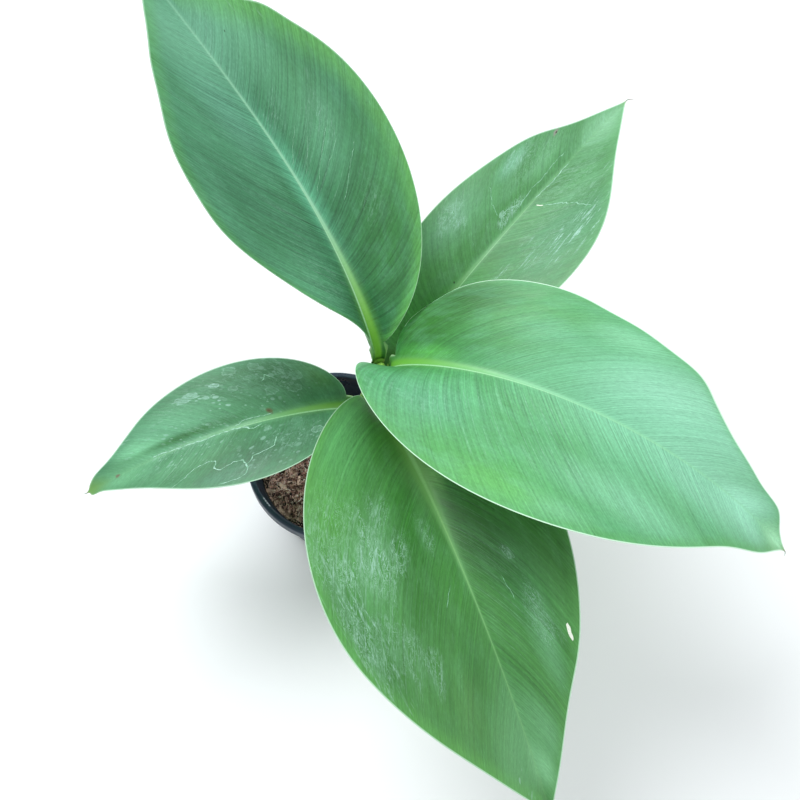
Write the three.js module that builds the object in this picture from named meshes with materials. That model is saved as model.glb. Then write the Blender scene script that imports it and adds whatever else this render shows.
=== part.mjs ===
// A young banana plant in a round nursery pot, in millimetres, +Z up.
// The origin is the centre of the pot's flat underside. +Y is the back of the plant.
// A leaf is a closed blade of curved ribs, bent onto its midrib. It starts as a short sheath
// that hugs the pseudostem, narrows to a channelled petiole and widens to the blade.

import * as THREE from 'three';

// nursery pot
const POT_HEIGHT = 88;
const POT_BASE_RADIUS = 36;
const POT_WALL = 2;
const POT_FLOOR = 3;
const POT_CORNER = 2.5;
const RIM_RADIUS = 52.5;
const RIM_BAND = 9;
const RIM_STEP = 3.4;
const RIM_ROUND = 1.4;
const POT_SIDES = 48;

// soil, with a flat seat round the pseudostem and a fall towards the wall
const SOIL_TOP = 71;
const SOIL_FALL = 2.5;
const SEAT_RADIUS = 23;
const CLEAR = 0.3;

// pseudostem: it stands beside the pot's axis, leans right and back and flares at the soil
const STEM_FOOT = new THREE.Vector2(7, 6);
const STEM_LEAN = new THREE.Vector2(0.152, 0.11);
const STEM_FOOT_RADIUS = 9;
const STEM_TAPER = 0.041;
const STEM_TOP = 168;
const FLARE = 3;
const FLARE_HEIGHT = 6;
const STEM_ROWS = 14;
const STEM_CROWDING = 1.5;
const STEM_DOME = [30, 60, 80];
const STEM_SIDES = 20;

// what all leaves share
const SHEATH_HEIGHT = 12;
const SHEATH_ANGLE = 50;
const SHEATH_CLEAR = 0.35;
const LIFT_OFF = 6;
const NARROWING = 26;
const PETIOLE_HALF = 5.2;
const PETIOLE_WALL = 78;
const WALL_FADE = 3;
const CHANNEL_TIP = 1.5;
const CHANNEL_FADE = 60;
const FOLD_FADE = 25;
const ARCH = 0.7;
const TAPER = 1.2;
const RIB_SWEEP = 38;
const RIB_CURVE = 25;
const RIB_BASE_FADE = 4;
const CUP = 15;
const THICKNESS_SHARE = 0.0105;
const MIDRIB_DEPTH = 1.4;
const TIP_SHARE = 0.993;
const SHEATH_ROWS = 3;
const PETIOLE_ROWS = 5;
const BLADE_ROWS = 20;
const BLADE_CROWDING = 1.2;
const SIDE_POINTS = 5;
const CHANNEL_POINTS = 2;
const MIDRIB_STEPS = 120;
const STRAIGHT = 1e-6;

// Each leaf: attach is the height of its sheath's mouth. heading and tipHeading are compass
// directions, counted from +X towards +Y, and swing says how late the midrib turns from one to
// the other. rise and droop are the midrib's slope at the petiole and at the tip. roll and
// tipRoll turn the blade about its midrib. fold and baseFold lift the halves out of flat. Each
// half has its longest rib, the lowest ribs' angle to the midrib (base), its fill, which says
// how soon it gets wide, and its swell, which moves width from the tip to the base.
const LEAVES = [
  {
    name: 'leaf_1', color: 0x468c64,
    attach: 176, heading: 119, tipHeading: 143, swing: 2.5, rise: 50, droop: 29.5,
    petiole: 9, blade: 206, roll: 5, tipRoll: -15, fold: 24.5, baseFold: 70,
    left: { rib: 61.5, base: 76, fill: 0.95, swell: 0.2 },
    right: { rib: 65, base: 76, fill: 0.66, swell: 0.09 },
  },
  {
    name: 'leaf_2', color: 0x5c9c62,
    attach: 147, heading: 47, tipHeading: 55.5, swing: 1.5, rise: 51, droop: -3,
    petiole: 25, blade: 187.5, roll: 0, tipRoll: 0, fold: 16, baseFold: 34,
    left: { rib: 39.5, base: 98, fill: 0.62, swell: 0.12 },
    right: { rib: 56, base: 60, fill: 0.47, swell: 0.11 },
  },
  {
    name: 'leaf_3', color: 0x6ec378,
    attach: 174.5, heading: -15.5, tipHeading: -22, swing: 1.5, rise: 56.5, droop: -45,
    petiole: 6, blade: 241, roll: 0, tipRoll: 8, fold: 18, baseFold: 60,
    left: { rib: 64.5, base: 58, fill: 0.31, swell: 0.04 },
    right: { rib: 75, base: 86.5, fill: 0.46, swell: 0.08 },
  },
  {
    name: 'leaf_4', color: 0x5fae5a,
    attach: 149, heading: -61.5, tipHeading: -62.5, swing: 1.5, rise: 35, droop: -34,
    petiole: 27.5, blade: 213.5, roll: 0, tipRoll: 0, fold: 16, baseFold: 53,
    left: { rib: 58.5, base: 102.5, fill: 0.52, swell: 0.09 },
    right: { rib: 74, base: 102.5, fill: 0.47, swell: 0.06 },
  },
  {
    name: 'leaf_5', color: 0x5a966e,
    attach: 131, heading: 199.5, tipHeading: 207, swing: 1.5, rise: 27, droop: -28,
    petiole: 9.5, blade: 151, roll: 0, tipRoll: -3, fold: 16, baseFold: 40.5,
    left: { rib: 39, base: 95, fill: 0.52, swell: 0.09 },
    right: { rib: 39, base: 95, fill: 0.64, swell: 0.09 },
  },
];

const radians = THREE.MathUtils.degToRad;
const mix = THREE.MathUtils.lerp;
const ease = (value) => THREE.MathUtils.smoothstep(value, 0, 1);

// ---- lofts -------------------------------------------------------------------------------

// A closed skin over rings of the same even count. Both ends are closed by a strip that joins
// the first half of the ring to the second half, which also suits a ring folded like a leaf.
function loft(rings) {
  const count = rings[0].length;
  const index = [];
  for (let row = 0; row + 1 < rings.length; row++) {
    for (let k = 0; k < count; k++) {
      const next = (k + 1) % count;
      const low = row * count;
      const high = low + count;
      index.push(low + k, low + next, high + next);
      index.push(low + k, high + next, high + k);
    }
  }
  const last = (rings.length - 1) * count;
  for (let k = 0; k + 1 < count / 2; k++) {
    const across = count - 1 - k;
    index.push(k, across, across - 1);
    index.push(k, across - 1, k + 1);
    index.push(last + k, last + across - 1, last + across);
    index.push(last + k, last + k + 1, last + across - 1);
  }
  const geometry = new THREE.BufferGeometry().setFromPoints(rings.flat());
  geometry.setIndex(index);
  geometry.computeVertexNormals();
  return geometry;
}

function solid(name, geometry, color, roughness) {
  const material = new THREE.MeshStandardMaterial({ color, roughness, metalness: 0 });
  const mesh = new THREE.Mesh(geometry, material);
  mesh.name = name;
  return mesh;
}

// A solid of revolution about Z. The profile holds [radius, height] pairs.
function turned(profile, sides) {
  const points = profile.map(([radius, height]) => new THREE.Vector2(radius, height));
  return new THREE.LatheGeometry(points, sides).rotateX(Math.PI / 2);
}

// ---- pot and soil ------------------------------------------------------------------------

const bandFoot = POT_HEIGHT - RIM_BAND;
const bandInner = RIM_RADIUS - RIM_STEP;
const wallTopRadius = bandInner - CLEAR;
const chamfer = RIM_ROUND / 3;

function outerWall(z) {
  return mix(POT_BASE_RADIUS, wallTopRadius, (z - POT_CORNER) / (bandFoot - POT_CORNER));
}

function innerWall(z) {
  return outerWall(z) - POT_WALL;
}

function makePot() {
  const profile = [
    [0, 0],
    [POT_BASE_RADIUS - POT_CORNER, 0],
    [POT_BASE_RADIUS, POT_CORNER],
    [wallTopRadius, bandFoot],
    [RIM_RADIUS - chamfer, bandFoot],
    [RIM_RADIUS, bandFoot + chamfer],
    [RIM_RADIUS, POT_HEIGHT - RIM_ROUND],
    [RIM_RADIUS - chamfer, POT_HEIGHT - chamfer],
    [RIM_RADIUS - RIM_ROUND, POT_HEIGHT],
    [bandInner + chamfer, POT_HEIGHT],
    [bandInner, POT_HEIGHT - chamfer],
    [innerWall(bandFoot) + CLEAR, bandFoot],
    [innerWall(bandFoot - RIM_STEP), bandFoot - RIM_STEP],
    [innerWall(POT_FLOOR + POT_CORNER), POT_FLOOR + POT_CORNER],
    [innerWall(POT_FLOOR) - POT_CORNER, POT_FLOOR],
    [0, POT_FLOOR],
  ];
  return solid('pot', turned(profile, POT_SIDES), 0x2b3a45, 0.55);
}

function makeSoil() {
  const edge = SOIL_TOP - SOIL_FALL;
  const corner = POT_FLOOR + POT_CORNER;
  const profile = [
    [0, POT_FLOOR + CLEAR],
    [innerWall(POT_FLOOR) - POT_CORNER - CLEAR, POT_FLOOR + CLEAR],
    [innerWall(corner) - CLEAR, corner + CLEAR],
    [innerWall(edge) - CLEAR, edge],
    [SEAT_RADIUS, SOIL_TOP],
    [0, SOIL_TOP],
  ];
  return solid('soil', turned(profile, POT_SIDES), 0x54402f, 1);
}

// ---- pseudostem --------------------------------------------------------------------------

function stemCentre(z) {
  const up = z - SOIL_TOP;
  return new THREE.Vector3(
    STEM_FOOT.x + STEM_LEAN.x * up,
    STEM_FOOT.y + STEM_LEAN.y * up,
    z,
  );
}

function stemRadius(z) {
  const up = z - SOIL_TOP;
  return STEM_FOOT_RADIUS - STEM_TAPER * up + FLARE * Math.exp(-up / FLARE_HEIGHT);
}

function stemRing(z, radius) {
  const ring = [];
  for (let side = 0; side < STEM_SIDES; side++) {
    const turn = (2 * Math.PI * side) / STEM_SIDES;
    const outward = new THREE.Vector3(Math.cos(turn), Math.sin(turn), 0);
    ring.push(stemCentre(z).addScaledVector(outward, radius));
  }
  return ring;
}

function makePseudostem() {
  const foot = SOIL_TOP + CLEAR;
  const shoulder = STEM_TOP - stemRadius(STEM_TOP);
  const rings = [];
  for (let row = 0; row <= STEM_ROWS; row++) {
    // the rows crowd towards the flare
    const z = mix(foot, shoulder, (row / STEM_ROWS) ** STEM_CROWDING);
    rings.push(stemRing(z, stemRadius(z)));
  }
  for (const turn of STEM_DOME) {
    const dome = radians(turn);
    const z = shoulder + (STEM_TOP - shoulder) * Math.sin(dome);
    rings.push(stemRing(z, stemRadius(shoulder) * Math.cos(dome)));
  }
  return solid('pseudostem', loft(rings), 0x7fae4e, 0.6);
}

// ---- leaves ------------------------------------------------------------------------------

// The point reached by walking along an arc that starts at the angle from and turns by turn,
// as [along, up].
function walkArc(length, from, turn) {
  if (Math.abs(turn) < STRAIGHT) {
    return [length * Math.cos(from), length * Math.sin(from)];
  }
  const radius = length / turn;
  return [
    radius * (Math.sin(from + turn) - Math.sin(from)),
    radius * (Math.cos(from) - Math.cos(from + turn)),
  ];
}

function leafFrame(position, heading, slope, roll) {
  const tangent = new THREE.Vector3(
    Math.cos(slope) * Math.cos(heading),
    Math.cos(slope) * Math.sin(heading),
    Math.sin(slope),
  );
  const side = new THREE.Vector3(-Math.sin(heading), Math.cos(heading), 0);
  const up = new THREE.Vector3().crossVectors(tangent, side);
  side.applyAxisAngle(tangent, roll);
  up.applyAxisAngle(tangent, roll);
  return { position, tangent, side, up };
}

// Frames along petiole and midrib, at even steps from the sheath's mouth to the tip.
function midribFrames(leaf) {
  const length = leaf.petiole + leaf.blade;
  const step = length / MIDRIB_STEPS;
  const heading = radians(leaf.heading);
  const outward = new THREE.Vector3(Math.cos(heading), Math.sin(heading), 0);
  const position = stemCentre(leaf.attach)
    .addScaledVector(outward, stemRadius(leaf.attach) + SHEATH_CLEAR);
  const frames = [];
  for (let i = 0; i <= MIDRIB_STEPS; i++) {
    const share = i / MIDRIB_STEPS;
    const lift = (90 - leaf.rise) * Math.exp((-share * length) / LIFT_OFF);
    const slope = mix(leaf.rise, leaf.droop, share ** ARCH) + lift;
    const swung = 1 - (1 - share) ** leaf.swing;
    const compass = mix(leaf.heading, leaf.tipHeading, swung);
    const roll = mix(leaf.roll, leaf.tipRoll, share);
    const frame = leafFrame(position.clone(), radians(compass), radians(slope), radians(roll));
    frames.push(frame);
    position.addScaledVector(frame.tangent, step);
  }
  return frames;
}

// The frame at x, counted along the midrib from the blade's base. Below the sheath's mouth it
// follows the pseudostem's surface.
function frameAt(leaf, frames, x) {
  const fromMouth = x + leaf.petiole;
  if (fromMouth <= 0) {
    const heading = radians(leaf.heading);
    const z = leaf.attach + fromMouth;
    const outward = new THREE.Vector3(Math.cos(heading), Math.sin(heading), 0);
    const position = stemCentre(z).addScaledVector(outward, stemRadius(z) + SHEATH_CLEAR);
    return leafFrame(position, heading, Math.PI / 2, 0);
  }
  const place = Math.min(fromMouth / (leaf.petiole + leaf.blade), 1) * MIDRIB_STEPS;
  const below = Math.min(Math.floor(place), MIDRIB_STEPS - 1);
  const [a, b, t] = [frames[below], frames[below + 1], place - below];
  return {
    position: a.position.clone().lerp(b.position, t),
    side: a.side.clone().lerp(b.side, t).normalize(),
    up: a.up.clone().lerp(b.up, t).normalize(),
  };
}

// One row of the leaf: how far its ribs reach to the left and right, how wide its channel is,
// the angle that the channel's wall reaches, where no fold sets it, how much its ribs are like
// the lowest ones, and how much of the midrib's depth it has.
function sheathRow(leaf, x) {
  const radius = stemRadius(leaf.attach + x + leaf.petiole) + SHEATH_CLEAR;
  const half = radius * radians(SHEATH_ANGLE);
  return { x, reach: [half, half], channel: half, wall: SHEATH_ANGLE, depth: 0 };
}

function petioleRow(leaf, x) {
  const mouth = sheathRow(leaf, -leaf.petiole);
  const narrowed = ease((x + leaf.petiole) / Math.min(NARROWING, leaf.petiole));
  const opened = ease((x + leaf.petiole) / leaf.petiole);
  const half = mix(mouth.channel, PETIOLE_HALF, narrowed);
  const steep = mix(SHEATH_ANGLE, PETIOLE_WALL, narrowed);
  const wall = mix(steep, leaf.baseFold + leaf.fold, opened ** WALL_FADE);
  return { x, reach: [half, half], channel: half, wall, depth: opened };
}

function ribReach({ rib, fill, swell }, share) {
  const widest = fill / (fill + TAPER);
  const full = widest ** fill * (1 - widest) ** TAPER;
  const bulge = 1 + swell * Math.sin(2 * Math.PI * share);
  return (rib * bulge * share ** fill * (1 - share) ** TAPER) / full;
}

function bladeRow(leaf, share) {
  const stalk = PETIOLE_HALF * (1 - share);
  const x = leaf.blade * share;
  return {
    x,
    reach: [leaf.left, leaf.right].map((side) => Math.hypot(stalk, ribReach(side, share))),
    channel: mix(CHANNEL_TIP, PETIOLE_HALF, Math.exp(-x / CHANNEL_FADE)),
    wall: null,
    lowest: (1 - share) ** RIB_BASE_FADE,
    depth: 1 - share,
  };
}

// Where the rib's point at a length along it lies in the flat leaf, as [x, across].
// The ribs of sheath and petiole run straight across.
function ribPoint(row, along, half, base) {
  if (row.wall !== null) {
    return [row.x, along];
  }
  const angle = mix(RIB_SWEEP, base, row.lowest);
  const start = Math.PI / 2 - radians(angle + RIB_CURVE / 2);
  const [across, ahead] = walkArc(along, start, (radians(RIB_CURVE) * along) / half);
  return [row.x + ahead, across];
}

function makeLeaf(leaf) {
  const frames = midribFrames(leaf);
  const total = SHEATH_HEIGHT + leaf.petiole + leaf.blade;
  const thickness = total * THICKNESS_SHARE;
  const droop = radians(CUP) / Math.max(leaf.left.rib, leaf.right.rib);

  // the upper and the under point at a length along the rib, on the left (1) or right (-1)
  function pair(row, along, hand) {
    const half = row.reach[hand > 0 ? 0 : 1];
    const [x, across] = ribPoint(row, along, half, (hand > 0 ? leaf.left : leaf.right).base);
    const folded = leaf.fold + leaf.baseFold * Math.exp(-Math.max(x, 0) / FOLD_FADE);
    const wall = radians(row.wall === null ? folded : row.wall);
    const bend = row.wall === null ? droop : 0;
    const inner = Math.min(across, row.channel);
    const innerTurn = (wall * inner) / row.channel - bend * inner;
    const outerTurn = -bend * (across - inner);
    const low = walkArc(inner, 0, innerTurn);
    const high = walkArc(across - inner, innerTurn, outerTurn);
    const angle = innerTurn + outerTurn;
    const frame = frameAt(leaf, frames, x);
    const top = frame.position.clone()
      .addScaledVector(frame.side, hand * (low[0] + high[0]))
      .addScaledVector(frame.up, low[1] + high[1]);
    const rib = MIDRIB_DEPTH * row.depth * Math.exp(-((across / row.channel) ** 2));
    const under = top.clone()
      .addScaledVector(frame.side, hand * Math.sin(angle) * (thickness + rib))
      .addScaledVector(frame.up, -Math.cos(angle) * (thickness + rib));
    return [top, under];
  }

  // lengths along a rib: a few inside the channel, the rest spread to the margin
  function stations(row, half) {
    const inside = Math.min(row.channel, (half * CHANNEL_POINTS) / SIDE_POINTS);
    const lengths = [];
    for (let k = 1; k <= SIDE_POINTS; k++) {
      const beyond = (k - CHANNEL_POINTS) / (SIDE_POINTS - CHANNEL_POINTS);
      lengths.push(beyond <= 0 ? (inside * k) / CHANNEL_POINTS : mix(inside, half, beyond));
    }
    return lengths;
  }

  function ring(row) {
    const left = stations(row, row.reach[0]).map((along) => pair(row, along, 1)).reverse();
    const right = stations(row, row.reach[1]).map((along) => pair(row, along, -1));
    const pairs = [...left, pair(row, 0, 1), ...right];
    const tops = pairs.map(([top]) => top);
    const unders = pairs.map(([, under]) => under);
    return [...tops, ...unders.reverse()];
  }

  const rows = [];
  for (let i = 0; i < SHEATH_ROWS; i++) {
    rows.push(sheathRow(leaf, -leaf.petiole - SHEATH_HEIGHT * (1 - i / SHEATH_ROWS)));
  }
  for (let i = 0; i < PETIOLE_ROWS; i++) {
    rows.push(petioleRow(leaf, -leaf.petiole * (1 - i / PETIOLE_ROWS)));
  }
  for (let i = 0; i <= BLADE_ROWS; i++) {
    rows.push(bladeRow(leaf, TIP_SHARE * (i / BLADE_ROWS) ** BLADE_CROWDING));
  }
  return solid(leaf.name, loft(rows.map(ring)), leaf.color, 0.5);
}

// ---- the plant ---------------------------------------------------------------------------

const group = new THREE.Group();
group.add(makePot(), makeSoil(), makePseudostem());
for (const leaf of LEAVES) {
  group.add(makeLeaf(leaf));
}

export default group;
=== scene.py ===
import math
import random
from types import SimpleNamespace

import bpy
import numpy as np
from mathutils import Matrix, Vector, noise


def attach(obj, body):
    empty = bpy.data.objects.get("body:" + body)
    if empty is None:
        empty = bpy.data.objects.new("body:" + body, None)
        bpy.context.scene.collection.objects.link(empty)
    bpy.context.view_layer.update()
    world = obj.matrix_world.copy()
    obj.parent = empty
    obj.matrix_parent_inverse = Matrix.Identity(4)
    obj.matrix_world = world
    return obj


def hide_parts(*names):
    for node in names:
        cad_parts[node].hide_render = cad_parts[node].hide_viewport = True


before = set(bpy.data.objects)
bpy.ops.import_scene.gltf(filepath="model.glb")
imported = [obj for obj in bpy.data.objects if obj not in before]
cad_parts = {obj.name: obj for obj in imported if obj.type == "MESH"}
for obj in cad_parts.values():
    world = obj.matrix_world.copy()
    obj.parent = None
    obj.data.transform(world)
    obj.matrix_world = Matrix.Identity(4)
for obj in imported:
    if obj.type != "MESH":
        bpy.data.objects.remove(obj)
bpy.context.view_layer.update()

# A young banana plant in a nursery pot. Sizes are in millimetres, as on the bench, and become
# metres when a mesh is made. Tones are display colours, 0 to 255. +Z is up, +Y is the back.
mm = 0.001
clear = 0.3  # what the solids keep between pieces that touch


# small tools

def mix(a, b, share):
    return a + (b - a) * share


def ease(value):
    value = np.clip(value, 0, 1)
    return value * value * (3 - 2 * value)


def tone(*shades):
    # the light that a display colour stands for
    shares = [shade / 255 for shade in shades]
    return tuple(s / 12.92 if s < 0.039 else ((s + 0.055) / 1.055) ** 2.4 for s in shares) + (1,)


def deselectAll():
    for thing in bpy.context.selected_objects:
        thing.select_set(False)


def takeUp(piece):
    deselectAll()
    piece.select_set(True)
    bpy.context.view_layer.objects.active = piece


def applyModifier(piece, kind, **settings):
    takeUp(piece)
    modifier = piece.modifiers.new(kind.title(), kind)
    for key, value in settings.items():
        setattr(modifier, key, value)
    bpy.ops.object.modifier_apply(modifier=modifier.name)


def smoothFaces(piece, degrees):
    takeUp(piece)
    bpy.ops.object.shade_smooth_by_angle(angle=math.radians(degrees))


def meshFrom(name, corners, faces):
    # a new piece from millimetre corners
    mesh = bpy.data.meshes.new(name)
    corners = np.asarray(corners, float) * mm
    faces = [list(map(int, face)) for face in faces]
    mesh.from_pydata(corners.tolist(), [], faces)
    piece = bpy.data.objects.new(name, mesh)
    bpy.context.scene.collection.objects.link(piece)
    return piece


def markPoints(piece, name, values):
    # a number, or three, for each corner, which the finishes read
    values = np.asarray(values, np.float32)
    kind, key = ("FLOAT", "value") if values.ndim == 1 else ("FLOAT_VECTOR", "vector")
    piece.data.attributes.new(name, kind, "POINT").data.foreach_set(key, values.ravel())


def placePiece(piece, node, material):
    piece.data.materials.clear()
    piece.data.materials.append(material)
    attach(piece, "root")
    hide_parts(node)


def wander(x, y, seed):
    # smooth random heights from -1 to 1 over a plane, about one bump for each unit
    dice = np.random.default_rng(seed)
    grid = dice.uniform(-1, 1, (64, 64))
    x, y = np.broadcast_arrays(x, y)
    column, row = np.floor(x).astype(int), np.floor(y).astype(int)
    u, v = ease(x - column), ease(y - row)
    near = mix(grid[column % 64, row % 64], grid[(column + 1) % 64, row % 64], u)
    far = mix(grid[column % 64, (row + 1) % 64], grid[(column + 1) % 64, (row + 1) % 64], u)
    return mix(near, far, v)


# nodes for the finishes

class Finish:
    # a material whose nodes are added one call at a time, its body colour in coats
    def __init__(self, name, roughness, specular):
        self.material = bpy.data.materials.new(name)
        self.material.use_nodes = True
        self.tree = self.material.node_tree
        self.shader = self.tree.nodes["Principled BSDF"]
        self.shader.inputs["Roughness"].default_value = roughness
        self.shader.inputs["Specular IOR Level"].default_value = specular
        self.body = None

    def node(self, kind, inputs, output=0, **settings):
        made = self.tree.nodes.new(kind)
        for key, value in settings.items():
            setattr(made, key, value)
        for key, value in inputs.items():
            self.feed(made.inputs[key], value)
        return made.outputs[output]

    def feed(self, socket, value):
        # a link, a number, or three numbers that are a tone where the socket takes a colour
        if isinstance(value, bpy.types.NodeSocket):
            self.tree.links.new(value, socket)
        else:
            isTone = socket.type == "RGBA" and len(value) == 3
            socket.default_value = tone(*value) if isTone else value

    def sum(self, operation, first, *others):
        # one Math node for each further value
        for other in others:
            first = self.node("ShaderNodeMath", {0: first, 1: other}, operation=operation)
        return first

    def add(self, *values):
        return self.sum("ADD", *values)

    def less(self, *values):
        return self.sum("SUBTRACT", *values)

    def times(self, *values):
        return self.sum("MULTIPLY", *values)

    def over(self, *values):
        return self.sum("DIVIDE", *values)

    def most(self, *values):
        return self.sum("MAXIMUM", *values)

    def size(self, value):
        return self.node("ShaderNodeMath", {0: value}, operation="ABSOLUTE")

    def step(self, value, low, high, fromEnd=0.0, toEnd=1.0):
        # a smooth step from low to high, which may run downwards
        ends = {"From Min": low, "From Max": high, "To Min": fromEnd, "To Max": toEnd}
        return self.node("ShaderNodeMapRange", {"Value": value, **ends}, interpolation_type="SMOOTHSTEP")

    def blend(self, share, first, second):
        return self.node("ShaderNodeMix", {0: share, 6: first, 7: second}, output=2, data_type="RGBA")

    def coat(self, color, *shares):
        # lays a colour over the body where the shares' product says so
        self.body = self.blend(self.times(*shares), self.body, color)

    def attribute(self, name, output=1):
        return self.node("ShaderNodeAttribute", {}, output=output, attribute_name=name)

    def parts(self, vector):
        return [self.node("ShaderNodeSeparateXYZ", {0: vector}, output=axis) for axis in range(3)]

    def vector(self, *values):
        return self.node("ShaderNodeCombineXYZ", dict(enumerate(values)))

    def object(self):
        return self.node("ShaderNodeTexCoord", {}, output=3)

    def oval(self, place, at, half, inner=0.0, ragged=None):
        # 1 in the middle of an oval on a plane, falling softly to 0 at its edge
        scale = (1 / half[0], 1 / half[1], 0)
        shift = (-at[0] / half[0], -at[1] / half[1], 0)
        away = self.node("ShaderNodeVectorMath", {0: place, 1: scale, 2: shift}, operation="MULTIPLY_ADD")
        away = self.node("ShaderNodeVectorMath", {0: away}, output=1, operation="LENGTH")
        if ragged is not None:
            away = self.add(away, ragged)
        return self.step(away, 1.0, inner)

    def scaled(self, color, factor):
        return self.node("ShaderNodeVectorMath", {0: color, "Scale": factor}, operation="SCALE")

    def noise(self, vector, scale=1.0, detail=2.0, rough=0.5, twist=0.0):
        kind = {"Scale": scale, "Detail": detail, "Roughness": rough, "Distortion": twist}
        return self.node("ShaderNodeTexNoise", {"Vector": vector, **kind})

    def cells(self, vector, scale, output=0):
        return self.node("ShaderNodeTexVoronoi", {"Vector": vector, "Scale": scale}, output=output)

    def bump(self, height, distance, strength):
        made = self.node("ShaderNodeBump", {"Height": height, "Distance": distance, "Strength": strength})
        self.feed(self.shader.inputs["Normal"], made)

    def paint(self, roughness=None):
        self.feed(self.shader.inputs["Base Color"], self.body)
        if roughness is not None:
            self.feed(self.shader.inputs["Roughness"], roughness)


# studio

studio = {
    "floorSize": 60.0,  # metres
    "floorTone": (247, 247, 245),
    "floorShade": 0.985,
    "worldTone": (240, 246, 252),
    "worldStrength": 0.72,
    "lookAt": (0.02, 0, 0.16),  # metres, where the lamps point
    "lens": 45,
    "cameraPlace": (34.3, -207.1, 638.3),
    "lookDown": 66,
    "cameraRoll": 6,
    # name, place in metres, width, watts, tone
    "lamps": [
        ("window", (-0.55, 0.4, 1.45), 0.75, 16, (246, 250, 255)),
        ("fill", (1.2, -0.9, 1.1), 1.4, 5, (255, 252, 246)),
        ("back", (0.5, 1.4, 0.9), 1.0, 5, (250, 252, 255)),
    ],
}


def makeFloor():
    deselectAll()
    bpy.ops.mesh.primitive_plane_add(size=studio["floorSize"], location=(0, 0, -0.0002))
    floor = bpy.context.object
    floor.name = "floor"
    floor.data.transform(floor.matrix_world)
    floor.matrix_world = Matrix.Identity(4)
    finish = Finish("paleFloor", 0.9, 0.2)
    clouds = finish.noise(finish.object(), 3.0, 3.0)
    shade = [c * studio["floorShade"] for c in tone(*studio["floorTone"])[:3]] + [1]
    finish.body = finish.blend(clouds, studio["floorTone"], shade)
    finish.paint()
    floor.data.materials.append(finish.material)


def makeLight():
    world = bpy.data.worlds.new("softRoom")
    bpy.context.scene.world = world
    world.use_nodes = True
    sky = world.node_tree.nodes["Background"]
    sky.inputs["Color"].default_value = tone(*studio["worldTone"])
    sky.inputs["Strength"].default_value = studio["worldStrength"]

    for name, place, width, watts, lampTone in studio["lamps"]:
        lamp = bpy.data.lights.new(name, "AREA")
        lamp.shape = "DISK"
        lamp.size = width
        lamp.energy = watts
        lamp.color = tone(*lampTone)[:3]
        holder = bpy.data.objects.new(name, lamp)
        holder.location = place
        toPlant = Vector(studio["lookAt"]) - Vector(place)
        holder.rotation_euler = toPlant.to_track_quat("-Z", "Y").to_euler()
        bpy.context.scene.collection.objects.link(holder)


def makeCamera():
    down = math.radians(studio["lookDown"])
    roll = math.radians(studio["cameraRoll"])
    ahead = Vector((0, math.cos(down), -math.sin(down)))
    upright = Vector((0, math.sin(down), math.cos(down)))
    level = Vector((1, 0, 0))
    across = level * math.cos(roll) + upright * math.sin(roll)
    above = upright * math.cos(roll) - level * math.sin(roll)
    lens = bpy.data.cameras.new("camera")
    lens.lens = studio["lens"]
    camera = bpy.data.objects.new("camera", lens)
    turn = Matrix((across, above, -ahead)).transposed().to_4x4()
    camera.matrix_world = Matrix.Translation(Vector(studio["cameraPlace"]) * mm) @ turn
    bpy.context.scene.collection.objects.link(camera)
    bpy.context.scene.camera = camera
    bpy.context.scene.view_settings.view_transform = "Standard"


makeFloor()
makeLight()
makeCamera()
print("studio ready")


# rings drawn up one after another, for pot, soil and pseudostem

def startRing(name, radius, height, sides, centre=(0, 0)):
    deselectAll()
    place = (centre[0] * mm, centre[1] * mm, height * mm)
    bpy.ops.mesh.primitive_circle_add(vertices=sides, radius=radius * mm, fill_type="NGON", location=place)
    piece = bpy.context.object
    piece.name = name
    piece.data.transform(piece.matrix_world)
    piece.matrix_world = Matrix.Identity(4)
    bpy.ops.object.mode_set(mode="EDIT")
    bpy.ops.mesh.select_mode(type="FACE")
    bpy.ops.mesh.select_all(action="SELECT")
    return piece


def drawRing(was, now):
    # extrudes the selected face from one (radius, height, x, y) to the next
    move = Vector((now[2] - was[2], now[3] - was[3], now[1] - was[1])) * mm
    centre = (now[2] * mm, now[3] * mm, now[1] * mm)
    share = now[0] / was[0]
    bpy.ops.mesh.extrude_region_move(TRANSFORM_OT_translate={"value": move})
    bpy.ops.transform.resize(value=(share, share, 1), center_override=centre)


def drawUp(name, rings, sides):
    # a closed skin through rings of (radius, height) or (radius, height, x, y)
    rings = [tuple(ring) + (0, 0) if len(ring) == 2 else tuple(ring) for ring in rings]
    first = rings[0]
    piece = startRing(name, first[0], first[1], sides, first[2:])
    for was, now in zip(rings, rings[1:]):
        drawRing(was, now)
    bpy.ops.mesh.poke()
    bpy.ops.mesh.select_all(action="SELECT")
    bpy.ops.mesh.normals_make_consistent(inside=False)
    bpy.ops.object.mode_set(mode="OBJECT")
    return piece


# nursery pot

pot = {
    "height": 88,
    "baseRadius": 36,
    "wall": 2,
    "floor": 3,
    "corner": 2.5,
    "rimRadius": 52.5,
    "rimBand": 9,
    "rimStep": 3.4,
    "rimRound": 1.4,
    "sides": 144,
    "floorRing": 12,
    "tone": (14, 32, 46),
    "paler": 1.5,
    # painted sheen: the tone that lightens the rim and the top of the wall
    "topSheenTone": (40, 64, 84),
    "dust": (84, 86, 84),
    # painted glint: small whitish ovals on the rim's top that stand in for a lamp's reflection, at these
    # degrees, in this tone and size
    "paintedGlint": (221, 223, 225, 227),  # degrees round the rim
    "paintedGlintTone": (214, 222, 232),
    "paintedGlintSize": 0.0012,  # metres
}
bandFoot = pot["height"] - pot["rimBand"]
bandInner = pot["rimRadius"] - pot["rimStep"]


def outerWall(height):
    return mix(pot["baseRadius"], bandInner - clear, (height - pot["corner"]) / (bandFoot - pot["corner"]))


def innerWall(height):
    return outerWall(height) - pot["wall"]


def quarter(radius, height, size, start, stop, steps=5):
    # rings round a quarter bend whose centre is (radius, height), angles from straight out
    turns = np.radians(np.linspace(start, stop, steps))
    return [(radius + size * math.cos(turn), height + size * math.sin(turn)) for turn in turns]


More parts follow.
